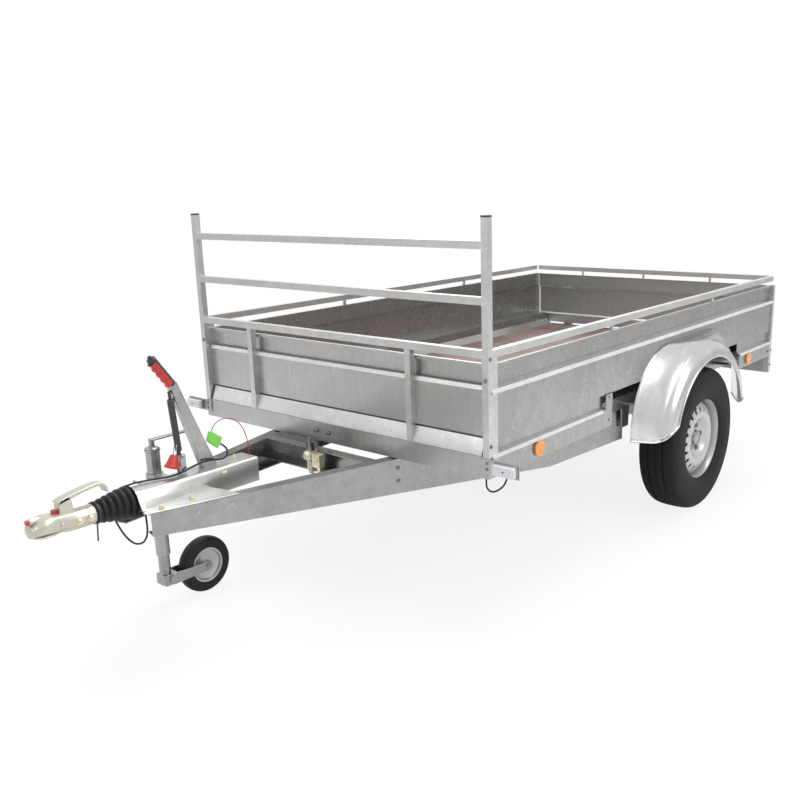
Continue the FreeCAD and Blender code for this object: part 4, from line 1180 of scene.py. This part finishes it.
def makeTailLamps(v):
    # Three rounded lenses stand proud of one dark case on each side.
    rear, face = v["rear"], v["rear"] + v["lensDeep"]
    low, high = v["heights"]
    case = extruded(roundedBox(*v["case"], 0.008), "X", face, v["front"] + 0.002)
    for side, flip in bothSides:
        replaced = ("rear_lamps",) if side == "left" else ()
        makePiece("tail_lamp_case_" + side, "bed", "plastic", flip([case]), replaced=replaced, bevel=0.0008)
        for name, inner, outer, finishName in v["lenses"]:
            lens = extruded(roundedBox((inner, low), (outer, high), 0.005), "X", rear + 0.0005, face)
            makePiece("tail_lamp_%s_%s" % (name, side), "bed", finishName, flip([lens]), bevel=0.0012)


makeTailLamps(tailLampValues)
print("bolts, latch and lamps made")


# Floor, backdrop and light

stageValues = {"floorSize": 60.0, "near": 0.85, "fade": (2.0, 4.6), "mirror": 0.22, "paper": 0.90,
               "lampPower": 260.0, "fill": 0.55}


def makeStage(values):
    # A wide pale floor that takes the trailer's shadow.
    size = values["floorSize"] / 2
    mesh = bpy.data.meshes.new("floor")
    corners = [(-size, -size, 0), (size, -size, 0), (size, size, 0), (-size, size, 0)]
    mesh.from_pydata(corners, [], [(0, 1, 2, 3)])
    floor = bpy.data.objects.new("floor", mesh)
    scene.collection.objects.link(floor)
    material, tree, shader = newMaterial("pale_floor")
    shader.inputs["Base Color"].default_value = (values["paper"],) * 3 + (1.0,)
    shader.inputs["Roughness"].default_value = 0.9
    shader.inputs["Specular IOR Level"].default_value = 0.1
    glow = addNode(tree, "ShaderNodeEmission", {"Color": (1, 1, 1, 1), "Strength": 1.0})
    path = addNode(tree, "ShaderNodeLightPath")
    # The floor fades into plain white with the distance from the trailer, and is paler in reflections.
    away = addNode(tree, "ShaderNodeVectorMath", {0: objectPlace(tree)}, operation="LENGTH").outputs["Value"]
    fade = spread(tree, away, values["near"], 1.0, *values["fade"])
    seen = sums(tree, path.outputs["Is Camera Ray"], fade, "MULTIPLY")
    mirrorSeen = sums(tree, path.outputs["Is Glossy Ray"], values["mirror"], "MULTIPLY")
    share = sums(tree, seen, mirrorSeen)
    mixer = addNode(tree, "ShaderNodeMixShader", {0: share, 1: shader.outputs[0], 2: glow.outputs[0]})
    output = [n for n in tree.nodes if n.type == "OUTPUT_MATERIAL"][0]
    tree.links.new(mixer.outputs[0], output.inputs["Surface"])
    floor.data.materials.append(material)


def makeWorld(values):
    # White where it is seen or mirrored, and weaker where it only lights the trailer.
    world = bpy.data.worlds.new("studio")
    scene.world = world
    world.use_nodes = True
    tree = world.node_tree
    background = [n for n in tree.nodes if n.type == "BACKGROUND"][0]
    path = addNode(tree, "ShaderNodeLightPath")
    seen = sums(tree, path.outputs["Is Camera Ray"], path.outputs["Is Transmission Ray"], "MAXIMUM")
    seen = sums(tree, seen, path.outputs["Is Glossy Ray"], "MAXIMUM")
    background.inputs["Color"].default_value = (1, 1, 1, 1)
    tree.links.new(spread(tree, seen, values["fill"], 1.0), background.inputs["Strength"])


def makeLamp(name, spot, target, size, power):
    # A rectangle of light that looks from its place to a point of the trailer.
    data = bpy.data.lights.new(name, "AREA")
    data.shape = "RECTANGLE"
    data.size, data.size_y = size
    data.energy = power
    lamp = bpy.data.objects.new(name, data)
    away = np.array(spot, float) - np.array(target, float)
    away /= np.linalg.norm(away)
    side = np.cross((0, 0, 1), away)
    side /= np.linalg.norm(side)
    up = np.cross(away, side)
    standAt(lamp, side, up, away, spot)


# Each lamp's place, what it looks at, its size and its share of the power
lampValues = {
    "key_lamp": ((-0.6, 5.2, 4.2), (-0.2, 0, 0.5), (3.0, 3.0), 0.5),
    "front_lamp": ((6.0, -1.5, 3.2), (0.5, 0, 0.5), (2.0, 3.0), 0.24),
    "back_lamp": ((-4.5, -3.0, 4.5), (0, 0, 0.5), (2.0, 2.0), 0.4),
    "top_lamp": ((-0.6, 0.1, 5.2), (0, 0, 0.5), (4.0, 3.0), 0.9),
}

makeStage(stageValues)
makeWorld(stageValues)
for name, (spot, target, size, share) in lampValues.items():
    makeLamp(name, spot, target, size, stageValues["lampPower"] * share)

scene.view_settings.view_transform = "Standard"
print("scene built")
bpy.context.view_layer.update()
